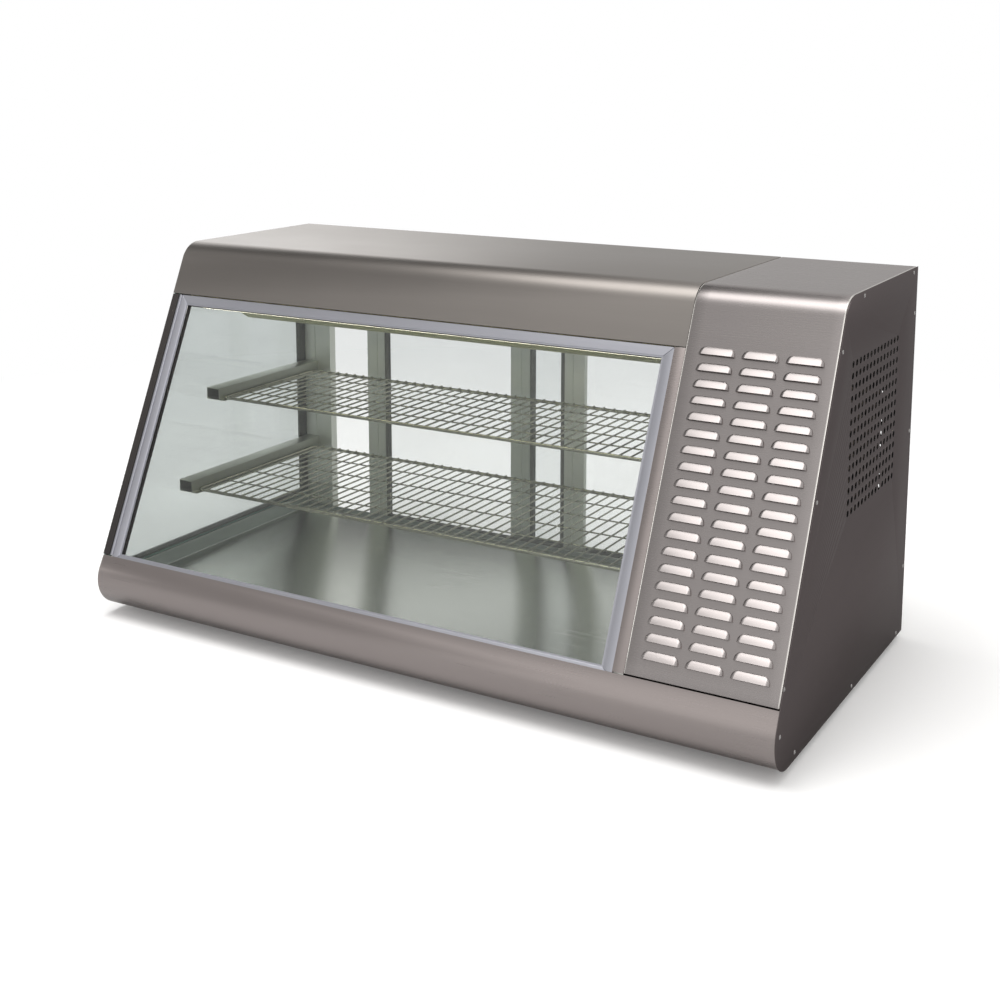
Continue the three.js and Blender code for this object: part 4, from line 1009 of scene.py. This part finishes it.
def fan():
    """Five curved blades on a domed hub."""
    bm = bmesh.new()
    turn = Matrix.Translation(FAN_CENTRE) @ Matrix.Rotation(math.radians(90), 4, "X")
    hub = [(0, 0.0098), (0.012, 0.0092), (0.019, 0.0065), (0.0218, 0.001), (0.0218, -0.0108), (0, -0.0108)]
    lathe(bm, hub, turn, 40)
    lathe(bm, [(0.004, -0.010), (0.004, -0.037), (0, -0.037)], turn, 20)
    for k in range(5):
        spin = Matrix.Rotation(2 * math.pi * k / 5, 4, "Z")
        grid = []
        for i in range(9):
            radius = 0.020 + 0.053 * i / 8
            pitch = math.radians(52 - 26 * i / 8)
            chord = 0.026 + 0.012 * math.sin(math.pi * i / 8 * 0.8)
            row = []
            for j in range(7):
                t = j / 6 - 0.5
                along = t * chord + 0.004 * i / 8
                camber = 0.002 * (1 - 4 * t * t)
                angle = along * math.cos(pitch) / radius * 0.9
                lift = min(0.0085, max(-0.0085, along * math.sin(pitch) * 0.6 + camber))
                point = Vector((radius * math.cos(angle), radius * math.sin(angle), lift))
                row.append([turn @ spin @ (point + Vector((0, 0, dz))) for dz in (0.0007, -0.0007)])
            grid.append(row)
        verts = [[[bm.verts.new(p) for p in pair] for pair in row] for row in grid]
        last_i, last_j = len(verts) - 1, len(verts[0]) - 1
        for side in (0, 1):
            for i in range(last_i):
                for j in range(last_j):
                    a, b = verts[i], verts[i + 1]
                    bm.faces.new((a[j][side], b[j][side], b[j + 1][side], a[j + 1][side]))
        rim = [(i, 0) for i in range(last_i)] + [(last_i, j) for j in range(last_j)]
        rim += [(i, last_j) for i in range(last_i, 0, -1)] + [(0, j) for j in range(last_j, 0, -1)]
        for (i, j), (p, q) in zip(rim, rim[1:] + rim[:1]):
            bm.faces.new((verts[i][j][0], verts[p][q][0], verts[p][q][1], verts[i][j][1]))
    place("condenser_fan_v", bm, "condenser_fan", "black_plastic", black_plastic,
          ["condenser_fan"], 40.0)


fan()


def compressor():
    """A welded hermetic shell on a base plate with rubber grommets, and its pipes."""
    low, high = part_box("compressor")
    middle = (low + high) / 2
    bm = bmesh.new()
    at = Matrix.Translation((middle.x, middle.y, 0))
    profile = [(0, 0.026), (0.047, 0.026), (0.058, 0.030), (0.0635, 0.038), (0.065, 0.048), (0.065, 0.0965)]
    profile += [(0.0695, 0.0975), (0.070, 0.1), (0.070, 0.103), (0.0695, 0.1045), (0.065, 0.1055)]
    profile.append((0.065, 0.118))
    for i in range(1, 13):
        angle = math.pi / 2 * i / 12
        profile.append((0.065 * math.cos(angle), 0.118 + 0.0499 * math.sin(angle)))
    profile[-1] = (0, profile[-1][1])
    lathe(bm, profile, at, 56)
    place("compressor_v", bm, "case", "black_enamel", enamel, ["compressor"], 30.0)
    boxes("compressor_plate", "case", "black_enamel", enamel,
          [((low.x, low.y + 0.012, 0.0250), (high.x, high.y - 0.012, 0.0278))], 0.0006)
    bm = bmesh.new()
    pad = [(0, 0.0139), (0.009, 0.0139), (0.0095, 0.018), (0.0075, 0.0205), (0.0095, 0.023)]
    pad += [(0.009, 0.025), (0, 0.025)]
    for dx in (-0.066, 0.066):
        for dy in (-0.048, 0.048):
            lathe(bm, pad, at @ Matrix.Translation((dx, dy, 0)), 24)
    place("compressor_pads", bm, "case", "black_enamel", rubber)
    boxes("compressor_relay", "case", "black_enamel", grey_plastic,
          [((middle.x - 0.022, middle.y - 0.082, 0.055), (middle.x + 0.022, middle.y - 0.0625, 0.092))], 0.003)
    # Discharge to the condenser, suction from the evaporator, and liquid back up to it.
    lines = [
        [(0.535, 0.195, 0.12), (0.552, 0.205, 0.14), (0.556, 0.190, 0.20), (0.556, 0.120, 0.235),
         (0.556, 0.0, 0.24), (0.566, -0.100, 0.243), (0.5775, -0.135, 0.236)],
        [(0.444, 0.195, 0.11), (0.424, 0.208, 0.13), (0.412, 0.200, 0.20), (0.400, 0.180, 0.30),
         (0.390, 0.150, 0.40), (0.3745, 0.140, 0.44)],
        [(0.3965, -0.145, 0.05), (0.386, -0.120, 0.055), (0.384, -0.02, 0.06), (0.386, 0.06, 0.14),
         (0.386, 0.11, 0.34), (0.3745, 0.128, 0.42)],
    ]
    for i, (points, radius) in enumerate(zip(lines, (0.0032, 0.004, 0.0025))):
        pipe = curve_mesh(f"pipe_{i + 1}", [smooth_path(points)], radius, False, 4)
        place(f"pipe_{i + 1}", pipe, "case", "black_enamel", copper, sharp=60.0)


compressor()


def feet():
    for node in ("foot_front_left", "foot_rear_left", "foot_front_right", "foot_rear_right"):
        low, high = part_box(node)
        middle = (low + high) / 2
        profile = [(0, 0), (0.0155, 0), (0.0168, 0.0012), (0.0176, 0.005), (0.0172, 0.0056), (0.0182, 0.0062)]
        profile += [(0.0196, 0.0102), (0.0190, 0.0117), (0, 0.0117)]
        bm = bmesh.new()
        lathe(bm, profile, Matrix.Translation((middle.x, middle.y, low.z)), 40)
        place(node + "_v", bm, "case", "foot_rubber", rubber, [node])


feet()

# ---------------------------------------------------------------- stage, light and camera
bm = bmesh.new()
bmesh.ops.create_grid(bm, x_segments=1, y_segments=1, size=30.0)
floor_mesh = mesh_of(bm, "floor")
floor_look = Look("floor_white", roughness=0.9, emission_color=(1, 1, 1, 1), emission_strength=0.1)
floor_tone = floor_look.mix(floor_look.noise((3, 3, 3)), (0.89, 0.89, 0.89), (0.91, 0.91, 0.91))
floor_look.set("Base Color", floor_tone)
away = floor_look.add("VectorMath", {0: floor_look.add("TexCoord").outputs["Object"]}, operation="LENGTH")
far_away = floor_look.span(away.outputs["Value"], 0.0, 1.0, 1.0, 2.4)
glow = floor_look.add("Emission", {"Color": (1, 1, 1, 1), "Strength": 1.0})
lit_floor = floor_look.add("MixShader", {0: far_away, 1: floor_look.shader.outputs[0], 2: glow.outputs[0]})
glossy_ray = floor_look.add("LightPath").outputs["Is Glossy Ray"]
mirrored = floor_look.add("Math", {0: glossy_ray, 1: 0.6}, operation="MULTIPLY")
dim = floor_look.add("BsdfDiffuse", {"Color": (0.12, 0.12, 0.12, 1)})
seen_floor = floor_look.add("MixShader", {0: mirrored.outputs[0], 1: lit_floor.outputs[0], 2: dim.outputs[0]})
floor_look.tree.links.new(seen_floor.outputs[0], floor_look.output.inputs["Surface"])
floor_mesh.materials.append(floor_look.material)
floor = bpy.data.objects.new("floor", floor_mesh)
SCENE.collection.objects.link(floor)


def facing(x, y, z):
    return Vector((x, y, z)).normalized()


# The studio seen in the metal: direction, inner and outer angle, and how much light it adds.
STUDIO = [
    (facing(-0.16, -0.14, 0.97), 11, 21, 2.8),
    (facing(-0.08, 0.99, 0.15), 10, 40, -0.32),
    (facing(-0.85, 0.60, 0.05), 5, 30, 0.30),
    (facing(-0.69, 0.66, 0.30), 6, 20, 0.80),
    (facing(-0.85, -0.45, 0.38), 10, 48, -0.50),
    (facing(-0.60, 0.42, 0.68), 12, 30, -0.75),
    (facing(-0.98, -0.12, 0.12), 6, 17, 1.70),
    (facing(0.62, -0.62, 0.48), 5, 14, 1.30),
]
ROOM = 0.88


def room_light():
    """A pale studio with soft boxes and darker corners, and plain white where the camera looks."""
    world = bpy.data.worlds.new("room")
    SCENE.world = world
    world.use_nodes = True
    tree = world.node_tree
    tree.nodes.clear()

    def add(kind, sockets=None, **settings):
        return add_node(tree, kind, sockets, **settings)

    ray = add("TexCoord").outputs["Generated"]
    total = add("Value")
    total.outputs[0].default_value = ROOM
    total = total.outputs[0]
    for direction, inner, outer, gain in STUDIO:
        near = add("VectorMath", {0: ray, 1: direction}, operation="DOT_PRODUCT").outputs["Value"]
        far_edge, near_edge = math.cos(math.radians(outer)), math.cos(math.radians(inner))
        edge = {"Value": near, "From Min": far_edge, "From Max": near_edge, "To Max": gain}
        lobe = add("MapRange", edge, interpolation_type="SMOOTHSTEP").outputs[0]
        total = add("Math", {0: total, 1: lobe}, operation="ADD").outputs[0]
    room = add("Background", {"Strength": total, "Color": (1.0, 0.99, 0.975, 1)})
    white = add("Background", {"Strength": 1.0, "Color": (1, 1, 1, 1)})
    seen = add("LightPath").outputs["Is Camera Ray"]
    mixed = add("MixShader", {0: seen, 1: room.outputs[0], 2: white.outputs[0]})
    tree.links.new(mixed.outputs[0], add("OutputWorld").inputs["Surface"])


room_light()


def softbox(name, position, target, size, power, tone=(1, 1, 1)):
    light = bpy.data.lights.new(name, "AREA")
    light.shape = "RECTANGLE"
    light.size, light.size_y = size
    light.energy = power
    light.color = tone
    lamp = bpy.data.objects.new(name, light)
    lamp.location = position
    lamp.rotation_euler = (Vector(target) - Vector(position)).to_track_quat("-Z", "Y").to_euler()
    lamp.visible_glossy = False
    SCENE.collection.objects.link(lamp)


softbox("key", (-0.3, -0.5, 2.6), (0.0, 0.0, 0.0), (2.2, 1.8), 34)

camera_data = bpy.data.cameras.new("camera")
camera_data.sensor_width = 36.0
camera_data.lens = 52.66
camera_data.shift_y = -0.2
camera = bpy.data.objects.new("camera", camera_data)
camera.location = (1.1838, -1.9910, 0.9320)
camera.rotation_euler = (math.radians(90 - 9.337), 0, math.radians(30.421))
SCENE.collection.objects.link(camera)
SCENE.camera = camera
SCENE.view_settings.view_transform = "Standard"
SCENE.cycles.transparent_max_bounces = 32
